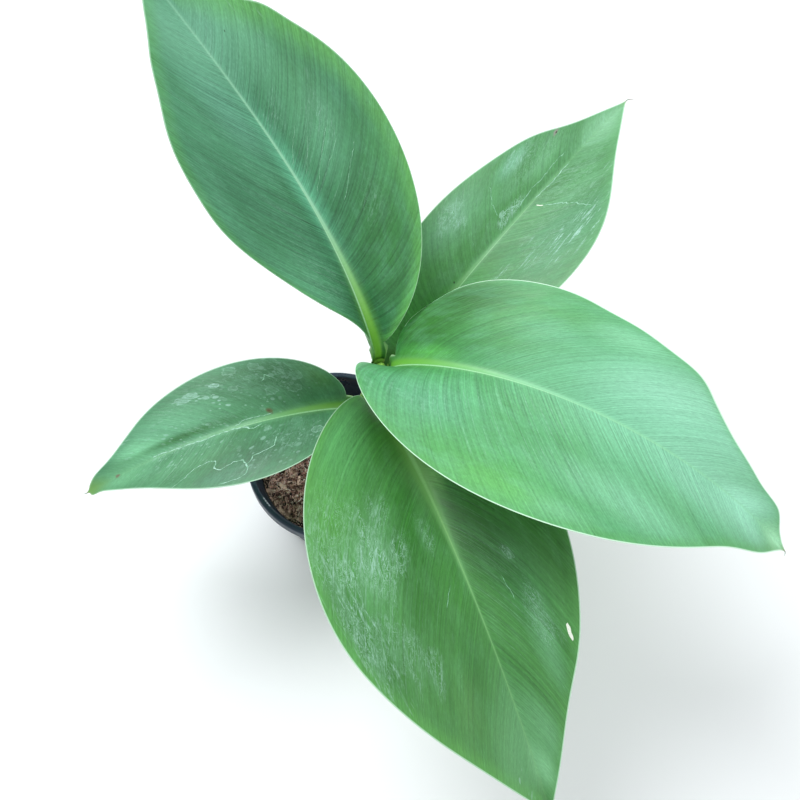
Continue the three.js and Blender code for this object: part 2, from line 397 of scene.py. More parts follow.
def makePot():
    corner, lip, top = pot["corner"], pot["rimRound"], pot["height"]
    rings = quarter(pot["baseRadius"] - corner, corner, corner, -90, 0)
    rings += [(outerWall(z), z) for z in np.linspace(corner + 1, bandFoot - 0.5, 12)]
    rings += [(outerWall(bandFoot) + 0.4, bandFoot)]
    rings += quarter(pot["rimRadius"] - 0.5, bandFoot + 0.5, 0.5, -90, 0, 4)
    rings += [(pot["rimRadius"], z) for z in np.linspace(bandFoot + 1.5, top - lip - 1, 4)]
    rings += quarter(pot["rimRadius"] - lip, top - lip, lip, 0, 90, 6)
    rings += quarter(bandInner + 0.8, top - 0.8, 0.8, 90, 180, 5)
    rings += [(bandInner - 0.1, top - 3), (bandInner - 0.3, bandFoot + 1)]
    rings += [(innerWall(z), z) for z in np.linspace(bandFoot - 2, pot["floor"] + corner, 10)]
    rings += quarter(innerWall(pot["floor"]) - corner, pot["floor"] + corner, corner, 0, -90, 4)[1:]
    rings += [(pot["floorRing"], pot["floor"])]
    piece = drawUp("pot", rings, pot["sides"])
    smoothFaces(piece, 40)
    placePiece(piece, "pot", potFinish())


def potFinish():
    finish = Finish("slatePlastic", 0.34, 0.45)
    place = finish.object()
    height = finish.parts(place)[2]
    grain = finish.noise(place, 900, 2)
    smudge = finish.noise(place, 45, 4, 0.6)
    specks = finish.cells(place, 260)
    paler = [c * pot["paler"] for c in tone(*pot["tone"])[:3]] + [1]
    finish.body = finish.blend(smudge, pot["tone"], paler)
    # painted sheen: the rim and the top of the wall are painted a little lighter and bluer, as if they caught
    # the light
    nearTop = finish.step(height, 0.070, 0.0875)
    finish.coat(pot["topSheenTone"], nearTop, 0.3)
    finish.coat(pot["dust"], finish.step(smudge, 0.55, 0.75), finish.step(specks, 0.32, 0.1), 0.45)
    finish.coat(pot["dust"], finish.step(height, 0.02, 0.0), finish.step(smudge, 0.4, 0.7), 0.4)
    # painted glint: a lamp's reflection painted as small whitish ovals on the rim's top
    for turn in np.radians(pot["paintedGlint"]):
        at = bandInner * mm * math.cos(turn), bandInner * mm * math.sin(turn)
        paintedGlint = finish.oval(place, at, (pot["paintedGlintSize"], pot["paintedGlintSize"]), 0.2)
        finish.coat(pot["paintedGlintTone"], paintedGlint, nearTop, 0.8)
    finish.paint(finish.step(smudge, 0.3, 0.75, 0.26, 0.5))
    finish.bump(finish.add(grain, finish.times(smudge, 1.5)), 0.00012, 0.5)
    return finish.material


makePot()
print("pot ready")


# pseudostem's rule, which the leaves follow too

stem = {
    "foot": (7, 6),
    "lean": (0.152, 0.11),
    "footRadius": 9,
    "taper": 0.041,
    "top": 168,
    "flare": 3,
    "flareHeight": 6,
    "sides": 72,
    "rows": 40,
}
soil = {
    "top": 71,
    "fall": 2.5,
    "seatRadius": 23,
    "sides": 132,
    "insets": 46,
    "lump": 1.5,
    "crumb": 0.8,
    "heap": 0.9,  # round the plant's foot
    "heapReach": (11, 4),
    "seed": 11,
    "strands": 2300,
    "crumbs": 1500,
    "chips": 420,
    # dark, middle and light
    "coirTones": ((44, 30, 28), (190, 154, 140), (222, 190, 176)),
    "peatTone": (122, 100, 84),
    "fibreTones": ((104, 68, 60), (222, 176, 162), (255, 244, 234)),
    "crumbTones": ((30, 20, 20), (156, 120, 110), (238, 204, 192)),
    "chipTones": ((62, 40, 36), (172, 128, 114), (242, 206, 190)),
}


def stemCentre(z):
    up = np.asarray(z, float) - soil["top"]
    x, y = (foot + lean * up for foot, lean in zip(stem["foot"], stem["lean"]))
    return np.stack([x, y, up + soil["top"]], -1)


def stemRadius(z):
    up = np.asarray(z, float) - soil["top"]
    return stem["footRadius"] - stem["taper"] * up + stem["flare"] * np.exp(-up / stem["flareHeight"])


# soil: moist coir, crumbs, chips and fibres

soilEdgeHeight = soil["top"] - soil["fall"]
soilEdge = innerWall(soilEdgeHeight) - clear


def soilSurface(x, y):
    # height of the soil's skin at a place, in millimetres
    seat = soil["seatRadius"]
    fall = soil["fall"] * max(0, math.hypot(x, y) - seat) / (soilEdge - seat)
    lump = noise.noise(Vector((x / 7, y / 7, 3.1))) * soil["lump"]
    crumb = noise.fractal(Vector((x / 2.1, y / 2.1, 9.7)), 0.6, 2.1, 3) * soil["crumb"]
    fromStem = math.hypot(x - stem["foot"][0], y - stem["foot"][1])
    start, reach = soil["heapReach"]
    heap = soil["heap"] * math.exp(-max(0, fromStem - start) / reach)
    return soil["top"] - fall + lump + crumb + heap


def tube(points, radii, sides):
    # corners and faces of a thin closed tube along points
    points = np.asarray(points, float)
    along = np.gradient(points, axis=0)
    along /= np.linalg.norm(along, axis=1)[:, None] + 1e-9
    flat = np.cross(along, [0.31, 0.22, 0.93])
    flat /= np.linalg.norm(flat, axis=1)[:, None] + 1e-9
    other = np.cross(along, flat)
    turns = 2 * np.pi * np.arange(sides) / sides
    ring = np.cos(turns)[None, :, None] * flat[:, None] + np.sin(turns)[None, :, None] * other[:, None]
    corners = (points[:, None] + ring * np.asarray(radii)[:, None, None]).reshape(-1, 3)
    faces = []
    for row in range(len(points) - 1):
        for side in range(sides):
            low, high = row * sides, (row + 1) * sides
            after = (side + 1) % sides
            faces.append((low + side, low + after, high + after, high + side))
    faces.append(tuple(range(sides))[::-1])
    faces.append(tuple(range((len(points) - 1) * sides, len(points) * sides)))
    return corners, faces


def bothSides(outer, inner):
    # the numbers of two grids that face each other, in rings
    return np.concatenate([outer, inner[:, ::-1]], axis=1).reshape(-1, 3)


def closedSheet(outer, inner):
    # a closed skin over two grids that face each other
    rows, columns = outer.shape[:2]
    ring = 2 * columns
    low = (np.arange(rows - 1) * ring)[:, None]
    side = np.arange(ring)[None, :]
    after = (side + 1) % ring
    quads = np.stack([low + side, low + after, low + ring + after, low + ring + side], -1).reshape(-1, 4)
    first = np.arange(columns - 1)
    foot = np.stack([first, ring - 1 - first, ring - 2 - first, first + 1], -1)
    tip = (foot + (rows - 1) * ring)[:, ::-1]
    return bothSides(outer, inner), np.concatenate([quads, foot, tip])


def joined(name, shapes, shades):
    # one piece from many small closed shapes, each with its own shade number
    corners, faces, dealt, count = [], [], [], 0
    for (points, sides), shade in zip(shapes, shades):
        corners.append(points)
        faces += [tuple(index + count for index in face) for face in sides]
        dealt += [shade] * len(points)
        count += len(points)
    piece = meshFrom(name, np.concatenate(corners), faces)
    markPoints(piece, "shade", dealt)
    return piece


def soilPlace(dice, margin):
    reach = soilEdge - margin
    while True:
        x, y = dice.uniform(-reach, reach), dice.uniform(-reach, reach)
        fromStem = math.hypot(x - stem["foot"][0], y - stem["foot"][1])
        if math.hypot(x, y) < reach and fromStem > 12:
            return x, y


def shadedFinish(name, tones, roughness, specular):
    # dark, middle and light pieces, told apart by their shade number
    finish = Finish(name, roughness, specular)
    shade = finish.attribute("shade", 2)
    finish.body = finish.blend(finish.step(shade, 0.0, 0.6), *tones[:2])
    finish.coat(tones[2], finish.step(shade, 0.6, 1.0))
    return finish, shade


def coirFinish(name, tones):
    finish, _ = shadedFinish(name, tones, 0.92, 0.25)
    place = finish.object()
    finish.coat(tones[0], finish.step(finish.noise(place, 260, 4, 0.6), 0.42, 0.7))
    finish.paint()
    finish.bump(finish.noise(place, 1600, 3), 0.0002, 0.7)
    return finish.material


def soilFinish():
    finish = Finish("moistCoir", 0.95, 0.2)
    place = finish.object()
    big = finish.noise(place, 160, 4, 0.6)
    small = finish.noise(place, 900, 3, 0.6)
    dark, middle, light = soil["coirTones"]
    finish.body = finish.blend(finish.step(big, 0.42, 0.6), dark, middle)
    finish.coat(light, finish.step(small, 0.5, 0.66))
    finish.coat(soil["peatTone"], finish.step(finish.noise(place, 70, 2), 0.6, 0.75, 0.0, 0.7))
    finish.paint()
    finish.bump(finish.add(big, small), 0.0006, 0.8)
    return finish.material


def makeFill():
    low = pot["floor"] + clear
    wallFoot = pot["floor"] + pot["corner"]
    rings = [(innerWall(pot["floor"]) - pot["corner"] - clear, low)]
    rings += [(innerWall(wallFoot) - clear, wallFoot + clear)]
    rings += [(innerWall(z) - clear, z) for z in np.linspace(wallFoot + 6, soilEdgeHeight - 2, 5)]
    rings += [(mix(soilEdge, 1.0, share), soilEdgeHeight) for share in np.linspace(0, 1, soil["insets"])]
    piece = drawUp("soil", rings, soil["sides"])
    applyModifier(piece, "SUBSURF", subdivision_type="SIMPLE", levels=1, render_levels=1)
    for vertex in piece.data.vertices:
        x, y, z = vertex.co / mm
        if z > soilEdgeHeight - 1:
            vertex.co.z = soilSurface(x, y) * mm
    smoothFaces(piece, 60)
    placePiece(piece, "soil", soilFinish())


def fibreShape(dice):
    x, y = soilPlace(dice, 3)
    heading = dice.uniform(0, 2 * math.pi)
    curl = dice.uniform(-1.6, 1.6)
    length = dice.uniform(2.5, 9) * dice.uniform(0.5, 1)
    arch = dice.uniform(0.1, 0.9)
    points = []
    for step in np.linspace(0, 1, 6):
        turn = heading + curl * step
        px = x + (step - 0.5) * length * math.cos(turn)
        py = y + (step - 0.5) * length * math.sin(turn)
        points.append((px, py, soilSurface(px, py) + arch * math.sin(math.pi * step) + 0.05))
    thick = dice.uniform(0.08, 0.26)
    if max(math.hypot(px, py) for px, py, _ in points) > soilEdge - 1:
        return None
    return tube(points, thick * np.array([0.4, 0.9, 1, 1, 0.8, 0.3]), 4)


def crumbShape(dice, number, corners, faces):
    # a small rounded lump, squashed and turned its own way
    x, y = soilPlace(dice, 2.5)
    size = dice.uniform(0.35, 1.0) * dice.uniform(0.6, 1.15)
    squash = np.array([dice.uniform(0.7, 1.4), dice.uniform(0.6, 1.1), dice.uniform(0.5, 0.9)])
    turn = Matrix.Rotation(dice.uniform(0, 6.28), 3, Vector((dice.random(), dice.random(), 1)))
    dents = wander(corners[:, 0] * 1.7 + number, corners[:, 1] * 1.7 + corners[:, 2], 5)
    corners = (corners * (1 + 0.28 * dents)[:, None] * squash * size) @ np.array(turn).T
    return corners + [x, y, soilSurface(x, y) + 0.2 * size], faces


def chipShape(dice):
    # a flat flake of husk with seven corners
    x, y = soilPlace(dice, 4)
    length, width = dice.uniform(1.2, 3.4), dice.uniform(0.5, 1.3)
    thick = dice.uniform(0.15, 0.4)
    outline = []
    for a in np.linspace(0, 2 * math.pi, 8)[:-1]:
        px = length * math.cos(a) * dice.uniform(0.8, 1.1)
        outline.append((px, width * math.sin(a) * dice.uniform(0.75, 1.1)))
    corners = np.array([(px, py, side * thick) for side in (-0.5, 0.5) for px, py in outline])
    tilt = [Matrix.Rotation(dice.uniform(-most, most), 3, axis) for most, axis in ((0.6, "X"), (0.4, "Y"))]
    turn = np.array(Matrix.Rotation(dice.uniform(0, 6.28), 3, "Z") @ (tilt[0] @ tilt[1]))
    faces = [tuple(range(7))[::-1], tuple(range(7, 14))]
    faces += [(k, (k + 1) % 7, 7 + (k + 1) % 7, 7 + k) for k in range(7)]
    return corners @ turn.T + [x, y, soilSurface(x, y) + 0.35], faces


def ballShape():
    # corners and faces of a ball, which every crumb starts from
    bpy.ops.mesh.primitive_ico_sphere_add(subdivisions=2, radius=1)
    ball = bpy.context.object
    corners = np.array([vertex.co for vertex in ball.data.vertices])
    faces = [tuple(face.vertices) for face in ball.data.polygons]
    bpy.data.objects.remove(ball)
    return corners, faces


def makeSoil():
    makeFill()
    ball = ballShape()
    dice = random.Random(soil["seed"])
    fibres, crumbs, chips = [], [], []
    for _ in range(soil["strands"]):
        shape = fibreShape(dice)
        if shape:
            fibres.append((shape, dice.random()))
    for number in range(soil["crumbs"]):
        shape = crumbShape(dice, number, *ball)
        crumbs.append((shape, dice.random() ** 2))
    for _ in range(soil["chips"]):
        shape = chipShape(dice)
        chips.append((shape, dice.random()))
    for name, shapes, degrees, finishName, tones in (
            ("soilFibres", fibres, 80, "coirFibre", "fibreTones"),
            ("soilCrumbs", crumbs, 50, "peatCrumb", "crumbTones"),
            ("soilChips", chips, 0, "huskChip", "chipTones")):
        piece = joined(name, *zip(*shapes))
        if degrees:
            smoothFaces(piece, degrees)
        placePiece(piece, "soil", coirFinish(finishName, soil[tones]))


makeSoil()
print("soil ready")


# leaves: the source's rule, with finer rows, a thin blade and relief

leafRule = {
    "sheathHeight": 12,
    "sheathAngle": 50,
    "sheathClear": 0.35,
    "liftOff": 6,
    "narrowing": 26,
    "petioleHalf": 5.2,
    "petioleWall": 78,
    "wallFade": 3,
    "channelTip": 1.5,
    "channelFade": 60,
    "foldFade": 25,
    "arch": 0.7,
    "taper": 1.2,
    "ribSweep": 38,
    "ribCurve": 25,
    "ribBaseFade": 4,
    "cup": 15,
    "steps": 120,
    "tipShare": 0.9985,
    # what the solids leave to this file
    "thickness": 0.62,
    "midribDepth": 3.0,
    "midribTipDepth": 0.5,
    "sheathRows": 16,
    "petioleStep": 0.8,
    "bladeStep": 0.46,
    "channelColumns": 7,
    "bladeColumns": 21,
    "bladeCrowding": 1.1,
    "fineVein": 1.5,
    "fineDepth": 0.018,
    "sideVein": 5.2,
    "sideDepth": 0.04,
    "waveLength": 34,
    "notchWidth": 4.0,
    "wingWidth": 7,
}

# Each leaf's attach is the height of its sheath's mouth, rise and droop are the midrib's slopes
# and petiole and blade its lengths. left and right are a half's longest rib, the angle of its
# lowest ribs, where it is widest and how it swells, Swells its bumps (x, half width, height).
leaves = {
    "leaf_1": {
        "attach": 176, "heading": 119, "tipHeading": 143, "swing": 2.5, "rise": 50, "droop": 29.5,
        "petiole": 9, "blade": 206, "roll": 5, "tipRoll": -15, "fold": 24.5, "baseFold": 70,
        "left": (61.5, 76, 0.95, 0.2), "right": (65, 76, 0.66, 0.09), "wave": 0.7, "seed": 1,
        "leftSwells": [(14, 7, -3), (48, 16, 4.5), (138, 22, 2.5)], "rightSwells": [(122, 14, 2)],
    },
    "leaf_2": {
        "attach": 147, "heading": 47, "tipHeading": 55.5, "swing": 1.5, "rise": 51, "droop": -3,
        "petiole": 25, "blade": 187.5, "roll": 0, "tipRoll": 0, "fold": 16, "baseFold": 34,
        "left": (39.5, 98, 0.62, 0.12), "right": (56, 60, 0.47, 0.11), "wave": 0.5, "seed": 2,
        "wing": 5, "leftSwells": [(106, 28, 4)], "rightSwells": [(110, 50, 1)],
    },
    "leaf_3": {
        "attach": 174.5, "heading": -15.5, "tipHeading": -22, "swing": 1.5, "rise": 56.5, "droop": -45,
        "petiole": 6, "blade": 241, "roll": 0, "tipRoll": 8, "fold": 18, "baseFold": 60,
        "left": (64.5, 58, 0.31, 0.04), "right": (75, 86.5, 0.46, 0.08), "wave": 0.8, "seed": 3,
        "notch": 0.62, "ruffles": [(1.2, 0.8, -2.4), (3.2, 1.2, 2.2), (6.5, 2, -1.0)],
        "leftSwells": [(55, 12, -1.5), (102, 16, 3), (148, 20, -1.5), (204, 15, 4.5)],
        "rightSwells": [(135, 40, 1.5), (200, 26, 3)],
    },
    "leaf_4": {
        "attach": 149, "heading": -61.5, "tipHeading": -62.5, "swing": 1.5, "rise": 35, "droop": -34,
        "petiole": 27.5, "blade": 213.5, "roll": 0, "tipRoll": 0, "fold": 16, "baseFold": 53,
        "left": (58.5, 102.5, 0.52, 0.09), "right": (74, 102.5, 0.47, 0.06), "wave": 0.7, "seed": 4,
        "leftSwells": [(98, 20, 1)], "rightSwells": [(52, 24, 2.5)],
    },
    "leaf_5": {
        "attach": 131, "heading": 199.5, "tipHeading": 207, "swing": 1.5, "rise": 27, "droop": -28,
        "petiole": 9.5, "blade": 151, "roll": 0, "tipRoll": -3, "fold": 16, "baseFold": 40.5,
        "left": (39, 95, 0.52, 0.09), "right": (39, 95, 0.64, 0.09), "wave": 0.5, "seed": 5,
        "leftSwells": [(144, 5, 2)], "rightSwells": [(78, 20, 1), (136, 12, 2)],
    },
}


def walkArc(length, start, turn):
    # the end of an arc of this length, as (along, up): its chord is short by a sinc
    chord = length * np.sinc(turn / 2 / np.pi)
    return chord * np.cos(start + turn / 2), chord * np.sin(start + turn / 2)


def leafFrames(heading, slope, roll):
    tangent = np.stack([np.cos(slope) * np.cos(heading), np.cos(slope) * np.sin(heading), np.sin(slope)], -1)
    side = np.stack([-np.sin(heading), np.cos(heading), 0 * heading], -1)
    up = np.cross(tangent, side)
    turn = np.cos(roll)[:, None], np.sin(roll)[:, None]
    return tangent, side * turn[0] + up * turn[1], up * turn[0] - side * turn[1]


def midribFrames(leaf):
    steps = leafRule["steps"]
    share = np.arange(steps + 1) / steps
    length = leaf["petiole"] + leaf["blade"]
    lift = (90 - leaf["rise"]) * np.exp(-share * length / leafRule["liftOff"])
    slope = np.radians(mix(leaf["rise"], leaf["droop"], share ** leafRule["arch"]) + lift)
    swung = 1 - (1 - share) ** leaf["swing"]
    heading = np.radians(mix(leaf["heading"], leaf["tipHeading"], swung))
    roll = np.radians(mix(leaf["roll"], leaf["tipRoll"], share))
    tangent, side, up = leafFrames(heading, slope, roll)
    walked = np.vstack([np.zeros(3), np.cumsum(tangent[:-1] * length / steps, axis=0)])
    return sheathPlace(leaf, np.array([leaf["attach"]]))[0] + walked, side, up


def sheathPlace(leaf, z):
    heading = math.radians(leaf["heading"])
    outward = np.array([math.cos(heading), math.sin(heading), 0])
    return stemCentre(z) + outward * (stemRadius(z) + leafRule["sheathClear"])[..., None]


def between(points, place):
    # a smooth curve through the points, read at fractional places
    last = len(points) - 1
    low = np.clip(np.floor(place).astype(int), 0, last - 1)
    t = (place - low)[..., None]
    a, b, c, d = (points[np.clip(low + k, 0, last)] for k in (-1, 0, 1, 2))
    square, cube = 2 * a - 5 * b + 4 * c - d, 3 * b - a - 3 * c + d
    return 0.5 * (2 * b + (c - a) * t + square * t ** 2 + cube * t ** 3)


def unit(vectors):
    return vectors / np.linalg.norm(vectors, axis=-1, keepdims=True)


def framesAt(leaf, frames, x):
    fromMouth = x + leaf["petiole"]
    place = np.clip(fromMouth / (leaf["petiole"] + leaf["blade"]), 0, 1) * leafRule["steps"]
    position, side, up = (between(points, place) for points in frames)
    heading = math.radians(leaf["heading"])
    below = (fromMouth <= 0)[..., None]
    position = np.where(below, sheathPlace(leaf, leaf["attach"] + np.minimum(fromMouth, 0)), position)
    side = np.where(below, np.array([-math.sin(heading), math.cos(heading), 0]), side)
    up = np.where(below, np.array([-math.cos(heading), -math.sin(heading), 0]), up)
    return position, unit(side), unit(up)


def ribReach(half, share):
    rib, _, fill, swell = half
    taper = leafRule["taper"]
    widest = fill / (fill + taper)
    full = widest ** fill * (1 - widest) ** taper
    return rib * (1 + swell * np.sin(2 * np.pi * share)) * share ** fill * (1 - share) ** taper / full


def bladeRows(leaf, x):
    # rows of x, reach left and right, channel, wall angle or nan, likeness to the lowest ribs, depth
    rule = leafRule
    share = x / leaf["blade"]
    stalk = rule["petioleHalf"] * (1 - share)
    left, right = (
        np.hypot(stalk, ribReach(leaf[side], share)) + ease(share * (1 - share) * 20) * sum(
            swell * np.exp(-((x - at) / width) ** 2) for at, width, swell in leaf[side + "Swells"])
        for side in ("left", "right"))
    channel = mix(rule["channelTip"], rule["petioleHalf"], np.exp(-x / rule["channelFade"]))
    return np.stack([x, left, right, channel, x * np.nan, (1 - share) ** rule["ribBaseFade"], 1 - share], -1)


def leafRows(leaf):
    rule = leafRule
    rows = []
    for step in np.linspace(-rule["sheathHeight"], 0, rule["sheathRows"], endpoint=False):
        half = (stemRadius(leaf["attach"] + step) + rule["sheathClear"]) * math.radians(rule["sheathAngle"])
        rows.append((step - leaf["petiole"], half, half, half, rule["sheathAngle"], 1, 0))
    mouth = (stemRadius(leaf["attach"]) + rule["sheathClear"]) * math.radians(rule["sheathAngle"])
    count = round(leaf["petiole"] / rule["petioleStep"])
    for share in np.arange(count) / count:
        narrowed = ease(share * leaf["petiole"] / min(rule["narrowing"], leaf["petiole"]))
        opened = ease(share)
        half = mix(mouth, rule["petioleHalf"], narrowed)
        steep = mix(rule["sheathAngle"], rule["petioleWall"], narrowed)
        wall = mix(steep, leaf["baseFold"] + leaf["fold"], opened ** rule["wallFade"])
        rows.append((leaf["petiole"] * (share - 1), half, half, half, wall, 1, opened))
    count = round(leaf["blade"] / rule["bladeStep"])
    crowded = (np.arange(count + 1) / count) ** rule["bladeCrowding"]
    blade = bladeRows(leaf, leaf["blade"] * rule["tipShare"] * crowded)
    rows = np.concatenate([np.array(rows), blade])
    # a wing on the left of the petiole, and a notch in the left half where the blade begins
    x = rows[:, 0]
    rows[:, 1] *= 1 - leaf.get("notch", 0) * np.exp(-np.abs(x) / rule["notchWidth"]) * (x > 0)
    rows[:, 1] += leaf.get("wing", 0) * np.exp(-((x + rule["wingWidth"] / 2) / rule["wingWidth"]) ** 2)
    return rows.T[:, :, None]


def skinRelief(leaf, x, along, reach, channel, hand):
    # side veins and fine veins along the ribs, slow waves towards the margin, ruffles on the left
    rule = leafRule
    share = np.clip(x / leaf["blade"], 0, 1)
    seed = leaf["seed"] * 10 + (hand > 0)
    toEdge = along / reach
    onBlade = ease((along - channel) / 4) * ease(share * 12) * ease((1 - share) * 14)
    sideVeins = wander(x / rule["sideVein"] + 0 * along, along / 60, seed) * rule["sideDepth"]
    fineVeins = wander(x / rule["fineVein"] * 2 + 0 * along, along / 40, seed + 1) * rule["fineDepth"]
    waves = wander(x / rule["waveLength"] + 0 * along, along / 45, seed + 2) * toEdge ** 2 * leaf["wave"]
    relief = onBlade * (sideVeins + fineVeins) + waves * ease(share * 6) * ease((1 - share) * 5)
    for at, width, lift in leaf.get("ruffles", ()) if hand > 0 else ():
        relief = relief + lift * np.exp(-((x - at) / width) ** 2) * toEdge ** 2
    return relief


def leafSkin(leaf, frames, rows, along, hand):
    # the upper skin's points and normals at lengths along the ribs of one half
    rule = leafRule
    x, reachLeft, reachRight, channel, wall, lowest, _ = rows
    reach = reachLeft if hand > 0 else reachRight
    base = leaf["left" if hand > 0 else "right"][1]
    inBlade = np.isnan(wall)
    start = np.pi / 2 - np.radians(mix(rule["ribSweep"], base, lowest) + rule["ribCurve"] / 2)
    across, ahead = walkArc(along, start, np.radians(rule["ribCurve"]) * along / reach)
    flatX = np.where(inBlade, x + ahead, x)
    across = np.where(inBlade, across, along)

    folded = leaf["fold"] + leaf["baseFold"] * np.exp(-np.maximum(flatX, 0) / rule["foldFade"])
    wall = np.radians(np.where(inBlade, folded, np.nan_to_num(wall)))
    droop = math.radians(rule["cup"]) / max(leaf["left"][0], leaf["right"][0])
    bend = np.where(inBlade, droop, 0)
    inner = np.minimum(across, channel)
    innerTurn = wall * inner / channel - bend * inner
    outerTurn = -bend * (across - inner)
    low = walkArc(inner, 0 * inner, innerTurn)
    high = walkArc(across - inner, innerTurn, outerTurn)
    tilt = (innerTurn + outerTurn)[..., None]
    position, side, up = framesAt(leaf, frames, flatX)
    normal = up * np.cos(tilt) - hand * side * np.sin(tilt)
    top = position + hand * side * (low[0] + high[0])[..., None] + up * (low[1] + high[1])[..., None]

    relief = skinRelief(leaf, x, along, reach, channel, hand)
    return top + normal * relief[..., None], normal, across


def leafHalf(leaf, frames, rows, hand):
    # the upper and under points of one half, and where each lies on the leaf
    rule = leafRule
    x, reachLeft, reachRight, channel, wall, _, depth = rows
    reach = reachLeft if hand > 0 else reachRight
    inChannel = rule["channelColumns"]
    inside = np.minimum(channel, reach * 0.4)
    near = np.arange(1, inChannel + 1) / inChannel * inside
    spread = np.arange(1, rule["bladeColumns"] + 1) / rule["bladeColumns"]
    far = mix(inside, reach, np.sin(spread * np.pi / 2) * 0.5 + spread * 0.5)
    along = np.concatenate([0 * x, near, far], axis=1)
    top, normal, across = leafSkin(leaf, frames, rows, along, hand)

    share = np.clip(x / leaf["blade"], 0, 1)
    midrib = mix(rule["midribTipDepth"], rule["midribDepth"], depth)
    midrib = midrib * np.exp(-((across / channel) ** 2) * 1.4)
    midrib = midrib * ease(share * leaf["blade"] / 25 + 0.35) * ease((1 - share) * 12 + 0.1)
    thickness = rule["thickness"] * mix(0.45, 1, ease((reach - along) / 2.5))
    under = top - normal * (thickness + np.where(np.isnan(wall), midrib, depth * 1.4))[..., None]
    place = np.stack([x + 0 * along, hand * along, share + 0 * along], -1)
    marks = np.stack([hand * across / channel, reach - along, 0 * along], -1)
    return top, under, place, marks


def addBakeMap(piece, rowCount, columns):
    # the upper side in one half of the bake's square, the under side in the other
    ring = 2 * columns
    index = np.zeros(len(piece.data.loops), int)
    piece.data.loops.foreach_get("vertex_index", index)
    row, column = index // ring, index % ring
    isTop = column < columns
    across = np.where(isTop, column, ring - 1 - column) / (columns - 1)
    u = 0.01 + 0.98 * row / (rowCount - 1)
    v = np.where(isTop, 0.01 + 0.48 * across, 0.99 - 0.48 * across)
    layer = piece.data.uv_layers.new(name="OFBake")
    layer.data.foreach_set("uv", np.stack([u, v], -1).astype(np.float32).ravel())


def leafMesh(name, leaf, frames):
    rows = leafRows(leaf)
    halves = [leafHalf(leaf, frames, rows, hand) for hand in (1, -1)]
    top, under, place, marks = (
        np.concatenate([left[:, ::-1], right[:, 1:]], axis=1) for left, right in zip(*halves))
    piece = meshFrom(name + "_blade", *closedSheet(top, under))
    markPoints(piece, "ribPlace", bothSides(place, place))
    markPoints(piece, "ribMarks", bothSides(marks, marks + [0, 0, 1]))

    addBakeMap(piece, *top.shape[:2])
    smoothFaces(piece, 60)
    return piece
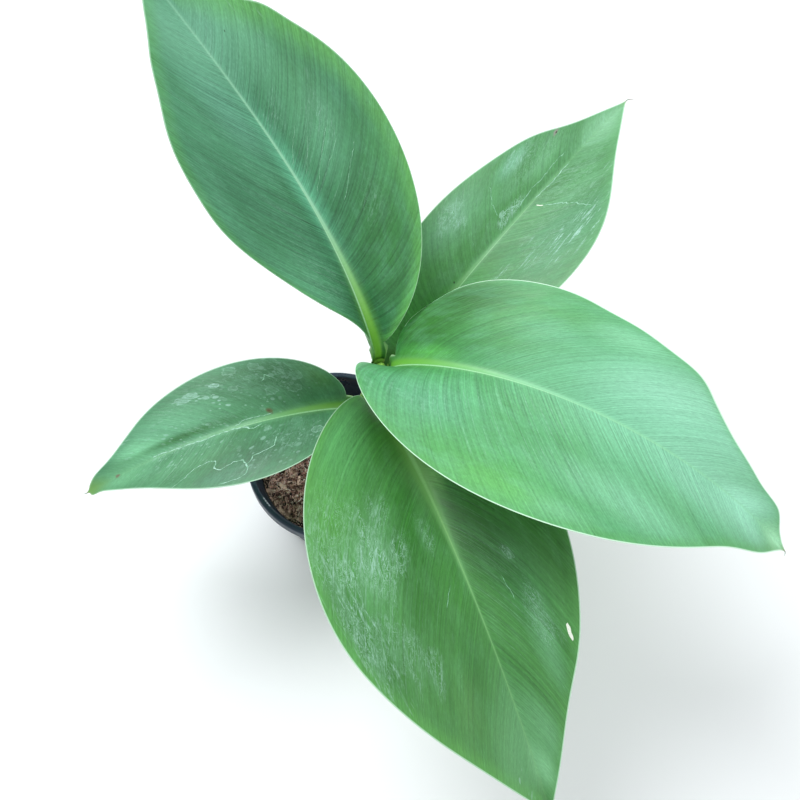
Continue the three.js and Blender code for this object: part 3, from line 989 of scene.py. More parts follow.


# How each leaf looks. Places are (x along the midrib, length along a rib, left positive).
# edges: tone, width and strength at the left and right margin. toneAndLightZones: place, half
# sizes, tone, strength; besides the leaf's own tones they hold painted shade where other leaves
# and the stem shade a leaf, and painted sheen and highlights where a leaf catches the light.
# patches: scratched dry residue, as place, half sizes, strength. hairs: pale scratches that run
# along the ribs, ripples: ones across them. blobs: place, radius, how much of it is filled,
# strength. spots: place, radius, tone. strokes: thin dry films, as a path, width and paleness.
# drops: how close dried drops lie, and an offset, dropZones: where they lie. veins and lean: of
# the left and the right half. ribShare: the midrib's width at its base and farther out, ribFade:
# how much of its tone is left at the tip, lineSide: where its pale line runs. tip: where the leaf
# starts to dry, and how much.
leafLooks = {
    "leaf_1": {
        "body": (72, 134, 96), "deep": (58, 118, 78), "bloom": (100, 160, 126),
        "edges": (((86, 154, 78), 9, 0.5), ((100, 172, 84), 17, 0.7)),
        "toneAndLightZones": [
            (30, -30, 62, 50, (56, 118, 54), 0.8), (100, -34, 50, 34, (88, 146, 96), 0.5),
            (84, 42, 34, 26, (58, 116, 80), 0.8), (125, 14, 44, 26, (98, 156, 130), 0.6),
            (168, -2, 48, 60, (118, 178, 146), 0.7), (32, 34, 30, 30, (90, 160, 114), 0.6),
            (142, -28, 40, 26, (118, 184, 142), 0.6), (46, -52, 34, 22, (92, 166, 96), 0.4),
            (88, -28, 34, 26, (98, 164, 122), 0.5), (88, 0, 60, 11, (98, 176, 136), 0.85),
        ],
        "patches": [
            (88, -33, 12, 11, 0.4), (115, -12, 9, 9, 0.32), (50, -33, 10, 10, 0.25), (36, 20, 22, 16, 0.22),
        ],
        "hairs": [
            (86, -18, 24, 22, 0.22), (140, 0, 50, 30, 0.2), (40, 20, 34, 24, 0.25), (92, 26, 80, 40, 0.15),
        ],
        "ripples": [(150, -40, 40, 22, 0.25)],
        "blobs": [], "drops": [], "dropZones": [],
        "spots": [(151, -17, 0.4, (58, 84, 62))],
        "strokes": [
            ([(102, -19), (101, -9), (97, -2)], 0.28, 0.1), ([(94, -21), (88, -6)], 0.28, 0.1),
            ([(84, -33), (83, -18), (79, -6)], 0.32, 0.15), ([(77, -34), (78, -19)], 0.28, 0.05),
            ([(67, -42), (66, -28), (63, -17)], 0.28, 0.1),
        ],
        "ribBase": (124, 190, 62), "ribTip": (158, 214, 176), "ribLine": (176, 226, 176),
        "ribShare": (0.5, 0.2), "ribFade": 0.6, "lineSide": 1, "margin": 0.45, "tip": (0.97, 0.4),
        "veins": (1.4, 1.3), "scrawl": 0.35, "lean": (0.4, 0.05), "petiole": (62, 128, 54),
    },
    "leaf_2": {
        "body": (86, 148, 92), "deep": (74, 132, 76), "bloom": (116, 172, 134),
        "edges": (((92, 154, 98), 6, 0.4), ((98, 164, 104), 7, 0.5)),
        "toneAndLightZones": [
            (18, 0, 60, 60, (84, 160, 76), 0.9), (56, 30, 30, 20, (108, 164, 126), 0.5),
            (90, 8, 50, 10, (72, 134, 70), 0.7), (168, 0, 36, 30, (136, 192, 148), 0.75),
            (72, -40, 40, 30, (84, 148, 98), 0.6), (60, 8, 34, 10, (72, 132, 70), 0.5),
            (76, -34, 40, 30, (62, 132, 78), 0.8), (118, 14, 24, 14, (112, 176, 122), 0.6),
            (58, -22, 28, 18, (58, 130, 60), 0.7),
            (92, 30, 16, 10, (112, 176, 138), 0.6), (46, 28, 22, 14, (104, 162, 118), 0.6),
        ],
        "patches": [
            (55, 32, 8, 9, 0.65), (58, 25, 6, 6, 0.55), (97, 29, 12, 8, 0.6), (90, 6, 11, 3.5, 1.0),
            (72, -34, 26, 20, 0.25), (100, -24, 22, 14, 0.25), (120, -10, 24, 12, 0.3),
            (110, 20, 26, 10, 0.25),
        ],
        "hairs": [(74, -36, 30, 26, 0.25), (97, 28, 20, 10, 0.3), (150, 0, 30, 16, 0.25)],
        "ripples": [
            (76, -44, 34, 18, 0.85), (66, -26, 24, 14, 0.55), (108, -30, 20, 12, 0.45),
            (55, 32, 14, 10, 0.3),
        ],
        "blobs": [(84, 9, 1.5, 0.8, 0.6)], "drops": [], "dropZones": [],
        "spots": [
            (124.5, 24, 1.8, (134, 140, 124)), (125, 23.5, 0.6, (58, 48, 42)),
            (46, 2.6, 0.55, (40, 66, 38)),
        ],
        "strokes": [
            ([(102, -4), (100.5, -9)], 1.0, 1.0), ([(100.5, -9), (100, -17), (98, -24)], 0.5, 0.3),
            ([(98, -24), (95.5, -30), (90, -40)], 0.4, 0.15),
            ([(81, 3), (84, 9)], 0.4, 0.15), ([(84, 9), (90, 8), (97, 4), (106, 6)], 0.5, 0.25),
            ([(106, 6), (113, 5.5), (121, 6), (128, 7), (134, 6)], 0.35, 0.15),
            ([(107, 0), (118, -1.5), (127, -1), (134, -1)], 0.45, 0.45), ([(78, 28), (79, 18),
            (81, 10)], 0.3, 0.05),
        ],
        "ribBase": (106, 168, 78), "ribTip": (104, 166, 106), "ribLine": (140, 200, 136),
        "ribShare": (0.42, 0.26), "ribFade": 0.1, "lineSide": -1, "margin": 0.6, "tip": (0.95, 0.3),
        "veins": (0.7, 0.7), "scrawl": 0.9, "lean": (0.2, 0.2), "petiole": (78, 136, 62),
    },
    "leaf_3": {
        "body": (92, 166, 110), "deep": (82, 154, 92), "bloom": (120, 188, 146),
        "edges": (((104, 176, 112), 5, 0.4), ((92, 164, 88), 8, 0.5)),
        # painted sheen and highlight: the pale blue-green zones farther out along the blade and at the tip
        "toneAndLightZones": [
            (14, 24, 50, 48, (56, 124, 48), 1.0), (48, 42, 44, 32, (84, 158, 86), 0.6),
            (30, -30, 34, 22, (98, 168, 126), 0.7), (46, -62, 46, 26, (82, 158, 74), 0.7),
            (142, 24, 100, 84, (142, 208, 172), 0.9), (176, -8, 50, 30, (148, 210, 178), 0.6),
            (144, -28, 16, 9, (112, 180, 130), 0.5), (8, -42, 12, 16, (84, 158, 96), 0.5),
            (112, 34, 40, 34, (160, 222, 188), 0.6), (108, -50, 56, 26, (134, 200, 158), 0.7),
            (60, 36, 26, 16, (120, 190, 150), 0.4), (16, 42, 28, 20, (40, 106, 36), 0.85),
            (76, 54, 26, 16, (136, 204, 158), 0.8), (68, -72, 22, 14, (118, 184, 132), 0.8),
            (50, -68, 22, 16, (102, 180, 96), 0.7), (20, 6, 26, 7, (96, 184, 84), 0.8),
            (198, 0, 26, 26, (162, 228, 194), 0.9), (230, 0, 24, 26, (176, 240, 190), 0.9),
        ],
        "patches": [(26, -30, 16, 12, 0.2), (9, -34, 8, 12, 0.25), (104, -52, 16, 12, 0.15)],
        "hairs": [(70, -30, 60, 34, 0.3), (150, -14, 50, 20, 0.3)],
        "ripples": [],
        "blobs": [], "drops": [], "dropZones": [],
        "spots": [],
        "strokes": [],
        "ribBase": (108, 178, 62), "ribTip": (140, 206, 158), "ribLine": (168, 222, 168),
        "ribShare": (0.46, 0.24), "ribFade": 0.7, "lineSide": -1, "margin": 1.0, "tip": (0.96, 0.5),
        "veins": (0.75, 1.15), "scrawl": 0.2, "lean": (0.5, 0.05), "petiole": (80, 148, 64),
    },
    "leaf_4": {
        "body": (72, 134, 66), "deep": (56, 118, 48), "bloom": (96, 158, 104),
        "edges": (((84, 148, 72), 7, 0.4), ((92, 164, 74), 9, 0.55)),
        # painted shadow: the dark zones on the left half near the base, where leaf_3 hangs over this leaf
        "toneAndLightZones": [
            (10, -8, 34, 34, (58, 124, 44), 0.8), (30, -56, 26, 26, (92, 168, 70), 0.6),
            (54, -50, 26, 26, (94, 160, 94), 0.5), (60, 26, 46, 40, (50, 112, 42), 0.85),
            (86, 30, 36, 26, (58, 122, 66), 0.6), (124, -26, 18, 24, (86, 130, 72), 0.25),
            (170, -4, 50, 50, (98, 158, 104), 0.8), (92, -10, 24, 12, (62, 128, 50), 0.6),
            (12, -42, 28, 26, (104, 182, 108), 0.9), (36, 6, 16, 8, (122, 184, 98), 0.8),
            (70, 9, 32, 12, (34, 98, 28), 0.7), (114, 34, 24, 14, (98, 158, 108), 0.7),
            (79, 20, 24, 20, (30, 92, 26), 0.8), (120, -16, 28, 16, (50, 112, 46), 0.7),
            (44, 16, 16, 9, (44, 110, 34), 0.6),
            (160, 16, 24, 16, (108, 168, 116), 0.6), (184, 6, 18, 14, (124, 186, 132), 0.9),
        ],
        "patches": [
            (51, -44, 15, 17, 0.7), (46, -62, 13, 12, 0.6), (58, -31, 8, 7, 0.6), (37, -50, 8, 12, 0.35),
            (64, -70, 18, 7, 0.6), (84, -50, 10, 9, 0.45), (98, -42, 9, 7, 0.45), (72, -60, 12, 12, 0.4),
            (98, 35, 14, 9, 0.38), (62, -12, 10, 5, 0.35), (42, -32, 9, 8, 0.4), (74, 27, 4, 4, 0.5),
            (36, -64, 14, 16, 0.35),
        ],
        "hairs": [(60, -50, 50, 40, 0.3), (90, 20, 60, 40, 0.12), (40, 20, 30, 20, 0.18)],
        "ripples": [(60, -68, 38, 14, 0.65), (48, -46, 22, 18, 0.2)],
        "blobs": [(74, 27.5, 2.2, 0.1, 0.4)], "drops": [(0.3, 0)],
        "dropZones": [(188, -14, 24, 10, 0.3)],
        "spots": [],
        "strokes": [
            ([(93, 50.5), (96.5, 50.5), (99.5, 51.5)], 3.2, 1.0), ([(87, -11), (91.5, -19)], 0.35, 0.1),
            ([(86, 19.5), (96, 22.5)], 0.25, 0.0),
        ],
        # the midrib's wide, soft pale band at the base is its own pale tone together with a painted highlight
        "ribBase": (106, 162, 76), "ribTip": (112, 172, 104), "ribLine": (136, 192, 118),
        "ribShare": (1.4, 0.2), "ribFade": 0.2, "lineSide": 0, "margin": 0.7, "tip": (0.97, 0.3),
        "veins": (1.1, 0.9), "scrawl": 1.0, "lean": (0.6, 0.6), "petiole": (66, 122, 52),
    },
    "leaf_5": {
        "body": (82, 142, 98), "deep": (66, 122, 80), "bloom": (106, 168, 130),
        "edges": (((80, 140, 92), 5, 0.3), ((84, 144, 104), 7, 0.4)),
        # painted shade: the dark zones near the base, shaded by the stem and the leaves beside it
        "toneAndLightZones": [
            (22, -20, 36, 32, (54, 104, 64), 0.9), (24, 22, 26, 24, (60, 112, 72), 0.8),
            (86, -18, 42, 22, (108, 172, 130), 0.8), (106, -10, 22, 15, (132, 204, 154), 0.8),
            (84, -6, 48, 5, (52, 112, 56), 0.95),
            (60, 20, 40, 14, (80, 142, 90), 0.6), (126, 4, 34, 20, (112, 178, 128), 0.8),
            (52, 34, 16, 8, (84, 142, 108), 0.7), (10, -24, 12, 20, (84, 136, 70), 0.7),
            (62, 24, 30, 14, (66, 124, 78), 0.8), (96, 16, 26, 12, (98, 158, 112), 0.4),
            (52, 5, 34, 3, (62, 120, 66), 0.5), (44, 24, 28, 24, (42, 98, 58), 0.9),
            (48, 34, 18, 9, (54, 112, 72), 0.7),
        ],
        "patches": [
            (50, 34, 14, 7, 0.2), (60, -30, 22, 7, 0.3), (70, -7, 16, 3, 0.3), (30, -24, 22, 12, 0.25),
            (30, 18, 16, 12, 0.25), (90, 1, 24, 4, 0.4),
        ],
        "hairs": [(80, 8, 40, 20, 0.25)],
        "ripples": [],
        "blobs": [
            (41, 8, 1.6, 0.6, 0.55), (47.5, -30.6, 1.6, 0.8, 0.8), (57.5, -31, 3.0, 0.7, 0.7),
            (63, -31, 3.0, 0.6, 0.65), (56, -25, 1.3, 0.8, 0.7), (38, -35, 2.6, 0.3, 0.35),
            (70, -7.4, 0.9, 0.8, 0.4),
            (28, 6.4, 2.6, 0.3, 0.2), (24, -25, 2.2, 0.4, 0.2), (33, -15, 2.6, 0.3, 0.25),
            (29, 19, 3.6, 0.15, 0.35),
            (18, 17, 2.5, 0.35, 0.6), (24, -13.6, 2.6, 0.3, 0.22), (20, -20, 2.2, 0.4, 0.25),
            (44, -24, 1.6, 0.6, 0.35),
            (52, -20, 1.3, 0.5, 0.3), (116, -8, 1.0, 0.6, 0.4), (30, -32, 2.0, 0.5, 0.3),
            (36, -27, 1.4, 0.5, 0.3),
        ],
        "drops": [(0.28, 0), (0.5, 4)],
        "dropZones": [(36, -24, 36, 22, 0.65), (36, 20, 34, 20, 0.35), (90, 0, 50, 30, 0.32)],
        "spots": [
            (40.4, -3.9, 1.5, (92, 104, 66)), (40.6, -4.0, 0.6, (92, 80, 56)),
            (129.4, 0.2, 1.2, (112, 112, 88)),
        ],
        "strokes": [
            ([(77, 33), (74, 27), (72, 22), (65, 20), (62, 22), (60, 27), (56, 29), (52, 26), (47, 26),
              (43, 32), (42, 36), (46, 39), (52, 40)], 0.5, 0.6),
            ([(44, 30), (43, 25), (39, 23), (35, 21), (36, 15)], 0.45, 0.4),
            ([(108, -1), (92, 0.6), (78, 1.6), (68, 1), (57, 1.6), (50, 5), (46, 2.6)], 0.6, 0.45),
            ([(62, -0.5), (53, -3), (45, -2), (40, -2)], 0.45, 0.35),
            ([(33, -22), (30, -25), (28, -22)], 0.3, 0.2),
        ],
        "ribBase": (98, 156, 56), "ribTip": (108, 170, 118), "ribLine": (142, 200, 140),
        "ribShare": (0.4, 0.3), "ribFade": 0.3, "lineSide": 1, "margin": 0.6, "tip": (0.86, 0.8),
        "veins": (0.7, 0.6), "scrawl": 0.5, "lean": (0.1, 0.3), "petiole": (84, 140, 56),
    },
}
leafFinish = {
    "roughness": 0.44,
    "specular": 0.4,
    "marginTone": (206, 240, 210),
    "marginWidth": 0.5,
    "residueTone": (172, 214, 196),
    "underTones": ((124, 168, 114), (138, 182, 130)),
    "underRib": (146, 196, 128),
    "sheathTones": ((96, 158, 62), (128, 184, 92)),
    "sheathMargin": (122, 176, 92),
    "tipTone": (108, 152, 66),
    "dryTone": (120, 92, 62),
    "veinShade": 0.48,
    "bandShade": 0.09,
    "grainShade": 0.4,
    "scrawlLevels": ((0.44, 0.014), (0.5, 0.02), (0.57, 0.014)),
    "filmHeight": 0.05,
    # dull, middle and bright films, with their flecks and their breaks
    "filmTones": ((142, 196, 160), (172, 214, 192), (236, 238, 222)),
    "fleckTone": (112, 172, 132),
    "breakTone": (100, 160, 118),
    "threadLength": {"leaf_1": 3, "leaf_2": 5, "leaf_3": 2.5, "leaf_4": 3, "leaf_5": 2},
}


# noises on a leaf: how often along the midrib and along a rib, offset, detail, roughness, twist
leafPatterns = {
    "fine": (0.95, 0.014, 0, 2, 0.7),
    "band": (0.22, 0.012, 3, 2),
    "slow": (0.03, 0.035, 6, 2),
    "cloud": (0.11, 0.12, 9, 4, 0.6),
    "grain": (1.1, 0.55, 2, 3, 0.75, 0.4),
    "hair": (1.5, 0.03, 5, 2, 0.6),
    "scrawl": (0.15, 0.24, 12, 3, 0.62, 0.9),
    "ripple": (0.09, 0.6, 15, 3, 0.6, 0.5),
    "dash": (0.62, 0.13, 18, 3, 0.62, 0.9),
    "cord": (0.01, 1.4, 8, 3),
}


def readSkin(finish, leaf, look):
    # where each spot of the skin lies, and the noises that run along the ribs
    skin = SimpleNamespace(place=finish.attribute("ribPlace"), seed=leaf["seed"] * 7.3)
    skin.x, skin.rib, skin.share = finish.parts(skin.place)
    skin.fromMidrib, skin.fromMargin, skin.under = finish.parts(finish.attribute("ribMarks"))
    skin.ratio = finish.size(skin.fromMidrib)

    # streaks lean towards the tip from the ribs that carry the mesh
    lean = finish.step(skin.fromMidrib, -1.0, 1.0, *look["lean"][::-1])
    leant = finish.less(skin.x, finish.times(finish.size(skin.rib), lean))
    for name, (alongX, alongRib, offset, *kind) in leafPatterns.items():
        at = finish.vector(finish.times(leant, alongX), finish.times(skin.rib, alongRib), skin.seed + offset)
        setattr(skin, name, finish.noise(at, 1, *kind))
    skin.ragged = finish.times(finish.less(skin.cloud, 0.5), 1.8)
    skin.wobble = finish.times(finish.less(skin.scrawl, 0.5), 1.3)
    skin.flecked = finish.step(skin.grain, 0.38, 0.62, 0.35, 1.0)
    return skin


def paintBlade(finish, look, skin):
    finish.body = finish.blend(finish.step(skin.slow, 0.3, 0.7), look["deep"], look["body"])
    # the zones lay the leaf's own tones, and with them painted shade and painted sheen
    for x, rib, halfX, halfRib, zoneTone, strength in look["toneAndLightZones"]:
        finish.coat(zoneTone, finish.oval(skin.place, (x, rib), (halfX, halfRib)), strength)
    for side, (edgeTone, width, strength) in zip((1, -1), look["edges"]):
        onSide = finish.step(skin.fromMidrib, 0.5 * side, 1.5 * side)
        finish.coat(edgeTone, finish.step(skin.fromMargin, width, 0.5), onSide, strength)
    finish.coat(look["bloom"], finish.step(skin.cloud, 0.42, 0.72), 0.22)

    # fine veins and wider bands along the ribs, clearest beside the midrib, and a grain
    bySide = finish.step(skin.fromMidrib, -1.0, 1.0, *look["veins"][::-1])
    beside = finish.step(skin.ratio, 12.0, 1.0, 0.8, 1.3)
    skin.nearMidrib = finish.times(beside, bySide, finish.step(skin.share, 0.92, 0.6, 0.2, 1.0))
    veins, bands, grains = (
        finish.times(finish.less(pattern, 0.5), leafFinish[depth] * 2)
        for pattern, depth in (
            (skin.fine, "veinShade"), (skin.band, "bandShade"), (skin.grain, "grainShade")))
    shade = finish.add(finish.times(finish.add(veins, bands), skin.nearMidrib), finish.add(grains, 1.0))
    finish.body = finish.scaled(finish.body, shade)


def paintMidrib(finish, look, skin):
    # a channel that is yellow-green at the base and pale and thin towards the tip
    ribTone = finish.blend(finish.step(skin.share, 0.02, 0.42), look["ribBase"], look["ribTip"])
    inRib = finish.over(skin.fromMidrib, finish.step(skin.share, 0.0, 0.5, *look["ribShare"]))
    away = finish.size(inRib)
    fade = finish.step(skin.share, 1.0, 0.1, look["ribFade"] * 0.35, 0.95)
    finish.coat(ribTone, finish.step(away, 3.6, 0.8), fade, 0.3)
    finish.coat(ribTone, finish.step(away, 1.7, 0.3), fade)
    line = finish.step(finish.size(finish.less(inRib, look["lineSide"])), 0.4, 0.08)
    broken = finish.step(skin.hair, 0.3, 0.5, 0.6, 1.0)
    finish.coat(look["ribLine"], line, broken, finish.step(skin.share, 0.95, 0.05, 0.1, 0.9))


def filmPattern(finish, look, skin):
    # scrawled lines, a haze and dashes, all of them flecked
    lines = []
    for level, thick in leafFinish["scrawlLevels"]:
        away = finish.size(finish.less(skin.scrawl, level))
        lines.append(finish.step(away, thick, thick * 0.25))
    scrawls = finish.times(finish.most(*lines), skin.flecked, look["scrawl"])
    haze = finish.times(finish.step(skin.cloud, 0.42, 0.62), skin.flecked, 0.36)
    dashes = finish.times(finish.step(skin.dash, 0.53, 0.66), skin.flecked, 0.95)
    return finish.most(scrawls, haze, dashes)


def driedDrops(finish, look, skin, residue):
    for density, offset in look["drops"]:
        at = finish.vector(finish.times(skin.x, density), finish.times(skin.rib, density), skin.seed + offset)
        chance = finish.node("ShaderNodeSeparateColor", {0: finish.cells(at, 1.0, output=1)})
        size = finish.step(chance, 0.4, 1.0, 0.001, 0.42)
        away = finish.add(finish.cells(at, 1.0), finish.times(skin.wobble, 0.5))
        drop = finish.step(finish.over(away, size), 1.05, 0.6)
        where = finish.step(skin.slow, 0.4, 0.58, 0.3, 1.0)
        for x, rib, halfX, halfRib, strength in look["dropZones"]:
            here = finish.oval(skin.place, (x, rib), (halfX, halfRib), 0.3, skin.ragged)
            residue = finish.most(residue, finish.times(here, drop, where, strength))
    return residue


def residueOn(finish, look, skin):
    # films in their patches, hairs along the ribs, ripples across them, and dried drops
    residue = finish.times(finish.step(skin.grain, 0.6, 0.75), finish.step(skin.cloud, 0.5, 0.75), 0.18)
    film = filmPattern(finish, look, skin)
    hairs = finish.times(finish.step(skin.hair, 0.55, 0.7), skin.flecked)
    ripples = finish.times(finish.step(skin.ripple, 0.55, 0.66), skin.flecked)
    for kind, marked, grown in (("patches", film, 1.25), ("hairs", hairs, 1), ("ripples", ripples, 1)):
        for x, rib, halfX, halfRib, strength in look[kind]:
            here = finish.oval(skin.place, (x, rib), (halfX * grown, halfRib * grown), 0.3, skin.ragged)
            residue = finish.most(residue, finish.times(here, marked, strength))
    for x, rib, radius, filled, strength in look["blobs"]:
        reach = finish.oval(skin.place, (x, rib), (2 * radius, 2 * radius), 0.0, skin.wobble)
        ring = finish.times(finish.step(reach, 0.36, 0.48), finish.step(reach, 0.6, 0.5, filled, 1.0))
        residue = finish.most(residue, finish.times(ring, skin.flecked, strength))
    return driedDrops(finish, look, skin, residue)


def paintEdges(finish, look, skin):
    # spots, the margin's thin pale line, and the tip that dries first
    for x, rib, size, spotTone in look["spots"]:
        half = size * 1.5
        finish.coat(spotTone, finish.oval(skin.place, (x, rib), (half, half), 0.35, skin.wobble))
    width = leafFinish["marginWidth"]
    margin = finish.step(skin.fromMargin, width * 1.8, width * 0.6)
    finish.coat(leafFinish["marginTone"], margin, finish.step(skin.x, 0.0, 1.5, 0.3, 1.0), look["margin"])
    tipFrom, tipShare = look["tip"]
    finish.coat(leafFinish["tipTone"], finish.step(skin.share, tipFrom, 0.99), tipShare)
    finish.coat(leafFinish["dryTone"], finish.step(skin.share, 0.985, 0.999))


def paintUnder(finish, skin):
    # the under side is duller, and its midrib stands out
    under = finish.blend(finish.step(skin.fine, 0.35, 0.65), *leafFinish["underTones"])
    under = finish.blend(finish.step(skin.ratio, 1.2, 0.4), under, leafFinish["underRib"])
    finish.coat(under, skin.under)


def paintPetiole(finish, look, skin):
    # petiole and sheath take the pseudostem's green, with dry edges
    sheath = finish.blend(finish.step(skin.cord, 0.4, 0.62), *leafFinish["sheathTones"])
    upper = finish.blend(finish.step(skin.ratio, 0.62, 0.3), look["petiole"], look["ribBase"])
    sheath = finish.blend(skin.under, upper, sheath)
    sheath = finish.blend(finish.step(skin.fromMargin, 0.7, 0.15), sheath, leafFinish["sheathMargin"])
    finish.coat(sheath, finish.step(skin.x, 3.0, -4.0))


def leafMaterial(name, leaf, look):
    finish = Finish(name + "Green", leafFinish["roughness"], leafFinish["specular"])
    skin = readSkin(finish, leaf, look)
    paintBlade(finish, look, skin)
    paintMidrib(finish, look, skin)
    residue = residueOn(finish, look, skin)
    finish.coat(leafFinish["residueTone"], residue)
    paintEdges(finish, look, skin)
    paintUnder(finish, skin)
    paintPetiole(finish, look, skin)
    finish.paint(finish.add(finish.times(residue, 0.2), finish.step(skin.cloud, 0.3, 0.7, 0.38, 0.5)))
    height = finish.times(finish.add(skin.fine, finish.times(skin.band, 0.8)), skin.nearMidrib)
    finish.bump(finish.add(height, finish.times(skin.grain, 0.4)), 0.0002, 0.5)
    return finish.material


def residueMaterial():
    finish, shade = shadedFinish("driedFilm", leafFinish["filmTones"], 0.6, 0.3)
    flecks = finish.noise(finish.object(), 2400, 3)
    breaks = finish.noise(finish.object(), 420, 3, 0.6)
    finish.coat(leafFinish["dryTone"], finish.step(shade, -0.5, -1.0))
    finish.coat(leafFinish["fleckTone"], finish.step(flecks, 0.45, 0.7), 0.4)
    finish.coat(leafFinish["breakTone"], finish.step(breaks, 0.46, 0.6), finish.step(shade, 1.0, 0.7), 0.75)
    finish.paint()
    finish.bump(flecks, 0.0001, 0.5)
    return finish.material


def skinAt(leaf, frames, places):
    # skin points and normals at (x, rib) places of the blade
    rows = bladeRows(leaf, places[:, 0]).T[:, :, None]
    found = [leafSkin(leaf, frames, rows, np.maximum(hand * places[:, 1:], 0), hand)[:2] for hand in (1, -1)]
    onLeft = places[:, 1:, None] > 0
    return [np.where(onLeft, left, right)[:, 0] for left, right in zip(*found)]


def filmAlong(leaf, frames, number, path, width):
    # a thin dried film with a jagged course that lies on the blade
    path = np.array(path, float)
    passed = np.concatenate([[0], np.cumsum(np.linalg.norm(np.diff(path, axis=0), axis=1))])
    walked = np.arange(0, passed[-1], 0.3)
    rough = min(1, 0.6 / width)
    jagged = [wander(walked / 1.6, number + 0 * walked, leaf["seed"] + k) * 0.4 * rough for k in (50, 51)]
    line = np.stack([np.interp(walked, passed, path[:, k]) + jagged[k] for k in (0, 1)], -1)
    ahead = np.gradient(line, axis=0)
    across = unit(np.stack([-ahead[:, 1], ahead[:, 0]], -1) + 1e-9)
    half = width / 2 * (0.8 + 0.4 * rough * wander(walked / 0.9, number + 0 * walked, 7))
    half = (half * ease(walked / 1.5 + 0.1) * ease((passed[-1] - walked) / 1.5 + 0.1))[:, None]
    sides = [skinAt(leaf, frames, line + across * half * way) for way in (1, -1)]
    points, normals = (np.stack(found, 1) for found in zip(*sides))
    height = leafFinish["filmHeight"]
    return closedSheet(points + normals * height, points - normals * 2 * height)


def tipThread(leaf, frames, length):
    # the dry thread that curls away from the tip
    tip = np.array([leaf["blade"] * leafRule["tipShare"]])
    position, side, up = framesAt(leaf, frames, tip)
    onward = np.cross(side, up)
    out = np.linspace(-0.8, length, 9)[:, None]
    curl = (np.maximum(out, 0) / length) ** 2
    points = position + onward * out - side * curl * length * 0.5 - up * curl * length * 0.35 - up * 0.3
    return tube(points, 0.3 * np.linspace(1, 0.25, 9), 8)


def leafMarks(name, leaf, frames):
    shapes, shades = [], []
    for number, (path, width, paleness) in enumerate(leafLooks[name]["strokes"]):
        shapes.append(filmAlong(leaf, frames, number, path, width))
        shades.append(paleness)
    shapes.append(tipThread(leaf, frames, leafFinish["threadLength"][name]))
    shades.append(-1)
    piece = joined(name + "_marks", shapes, shades)
    smoothFaces(piece, 60)
    return piece


def makeLeaves():
    residue = residueMaterial()
    for name, leaf in leaves.items():
        frames = midribFrames(leaf)
        piece = leafMesh(name, leaf, frames)
        placePiece(piece, name, leafMaterial(name, leaf, leafLooks[name]))
        placePiece(leafMarks(name, leaf, frames), name, residue)
        print(name, "ready,", len(piece.data.polygons), "faces")


makeLeaves()


# pseudostem: a core and the sheaths that wrap it, oldest outside

sheaths = {
    "core": 0.95,  # how far the core lies inside the solid's skin
    "thickness": 0.55,
    "lift": 0.16,  # each older layer lies this much further out
    "footHalf": 158,
    "mouthHalf": 52,
    "heart": 13,  # how far the rolled heart stands above the topmost sheath's foot
    "wrapScale": 0.14,  # millimetres for each degree round the stem
    "rows": 70,
    "columns": 46,
    "order": ["leaf_1", "leaf_3", "leaf_4", "leaf_2", "leaf_5"],  # youngest first
    "footTone": (150, 176, 92),
    "tone": (116, 174, 70),
    "mouthTone": (160, 216, 92),
    "ribTone": (84, 138, 58),
    "dryFoot": (124, 84, 58),
    "blotchTone": (92, 66, 58),
    "edgeTone": (160, 176, 104),
}


def stemFinish():
    finish = Finish("sheathGreen", 0.45, 0.4)
    turn, height, edge = finish.parts(finish.attribute("wrap"))
    ribs = finish.noise(finish.vector(finish.times(turn, 0.35), finish.times(height, 0.012), 2.0), 1, 3, 0.6)
    blotch = finish.noise(finish.vector(finish.times(turn, 0.05), finish.times(height, 0.05), 5.0), 1, 4, 0.6)
    finish.body = finish.blend(finish.step(height, 20, 88), sheaths["footTone"], sheaths["tone"])
    finish.coat(sheaths["mouthTone"], finish.step(height, 90, 102))
    finish.coat(sheaths["ribTone"], finish.step(ribs, 0.4, 0.65), 0.4)
    finish.coat(sheaths["dryFoot"], finish.step(height, 34, 0), finish.step(blotch, 0.35, 0.6), 0.8)
    finish.coat(sheaths["blotchTone"], finish.step(blotch, 0.6, 0.72), finish.step(height, 92, 70, 0.0, 0.45))
    finish.coat(sheaths["edgeTone"], finish.step(edge, 1.4, 0.3))
    finish.paint(finish.step(blotch, 0.3, 0.7, 0.38, 0.6))
    finish.bump(finish.add(ribs, finish.times(blotch, 0.4)), 0.0003, 0.6)
    return finish.material


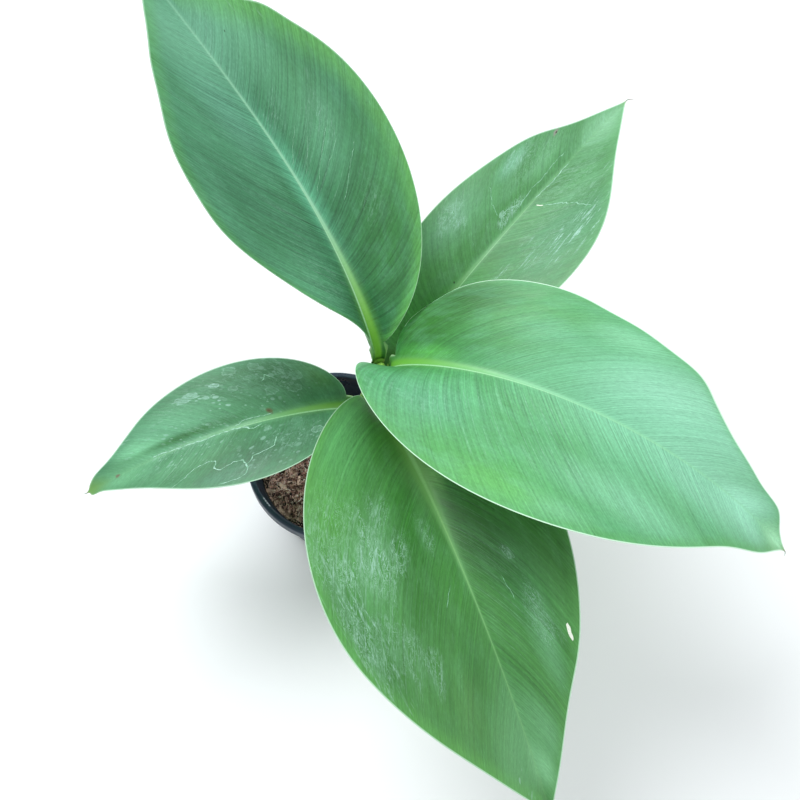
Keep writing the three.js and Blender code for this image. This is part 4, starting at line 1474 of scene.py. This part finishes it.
def makeCore(foot, material):
    rings = []
    for z in np.linspace(foot, stem["top"] - 5, stem["rows"]):
        x, y, _ = stemCentre(z)
        rings.append((float(stemRadius(z)) - sheaths["core"], z, x, y))
    shoulder = rings[-1]
    for turn in np.radians([15, 32, 48, 62, 74, 84]):
        z = shoulder[1] + sheaths["heart"] * math.sin(turn)
        x, y, _ = stemCentre(z)
        rings.append((shoulder[0] * math.cos(turn), z, x, y))
    core = drawUp("pseudostemCore", rings, stem["sides"])
    smoothFaces(core, 50)
    wrap = []
    for vertex in core.data.vertices:
        x, y, z = vertex.co / mm
        centre = stemCentre(z)
        turn = math.degrees(math.atan2(y - centre[1], x - centre[0]))
        wrap.append((turn * sheaths["wrapScale"], z - soil["top"], 5))
    markPoints(core, "wrap", wrap)
    placePiece(core, "pseudostem", material)


def makeSheath(layer, name, foot, material):
    leaf = leaves[name]
    mouth = leaf["attach"] - 1.0
    height = np.linspace(foot - 1.5, mouth, sheaths["rows"])[:, None]
    share = (height - height[0]) / (mouth - foot)
    half = mix(sheaths["footHalf"], sheaths["mouthHalf"], ease(share) ** 0.8)
    spread = np.linspace(-1, 1, sheaths["columns"])[None, :]
    turn = leaf["heading"] + half * spread + wander(share * 3, spread * 0, layer) * 3
    out = stemRadius(height) - sheaths["core"] + sheaths["lift"] * (layer + 1)
    out = out + wander(turn / 9, height / 30, 40 + layer) * 0.07
    thin = sheaths["thickness"] * ease((1 - np.abs(spread)) * 4 + 0.12) * ease((1 - share) * 6 + 0.25)
    centre = stemCentre(np.broadcast_to(height, turn.shape))
    outward = np.stack([np.cos(np.radians(turn)), np.sin(np.radians(turn)), 0 * turn], -1)
    outer = centre + outward * out[..., None]
    inner = centre + outward * (out - thin)[..., None]
    piece = meshFrom("sheath_of_" + name, *closedSheet(outer, inner))
    fromEdge = (1 - np.abs(spread)) * np.radians(half) * out
    flat = np.stack([turn * sheaths["wrapScale"], height - soil["top"] + 0 * turn, fromEdge], -1)
    markPoints(piece, "wrap", bothSides(flat, flat))
    smoothFaces(piece, 60)
    placePiece(piece, "pseudostem", material)


def makePseudostem():
    material = stemFinish()
    foot = soil["top"] + clear
    makeCore(foot, material)
    for layer, name in enumerate(sheaths["order"]):
        makeSheath(layer, name, foot, material)


makePseudostem()
print("pseudostem ready")
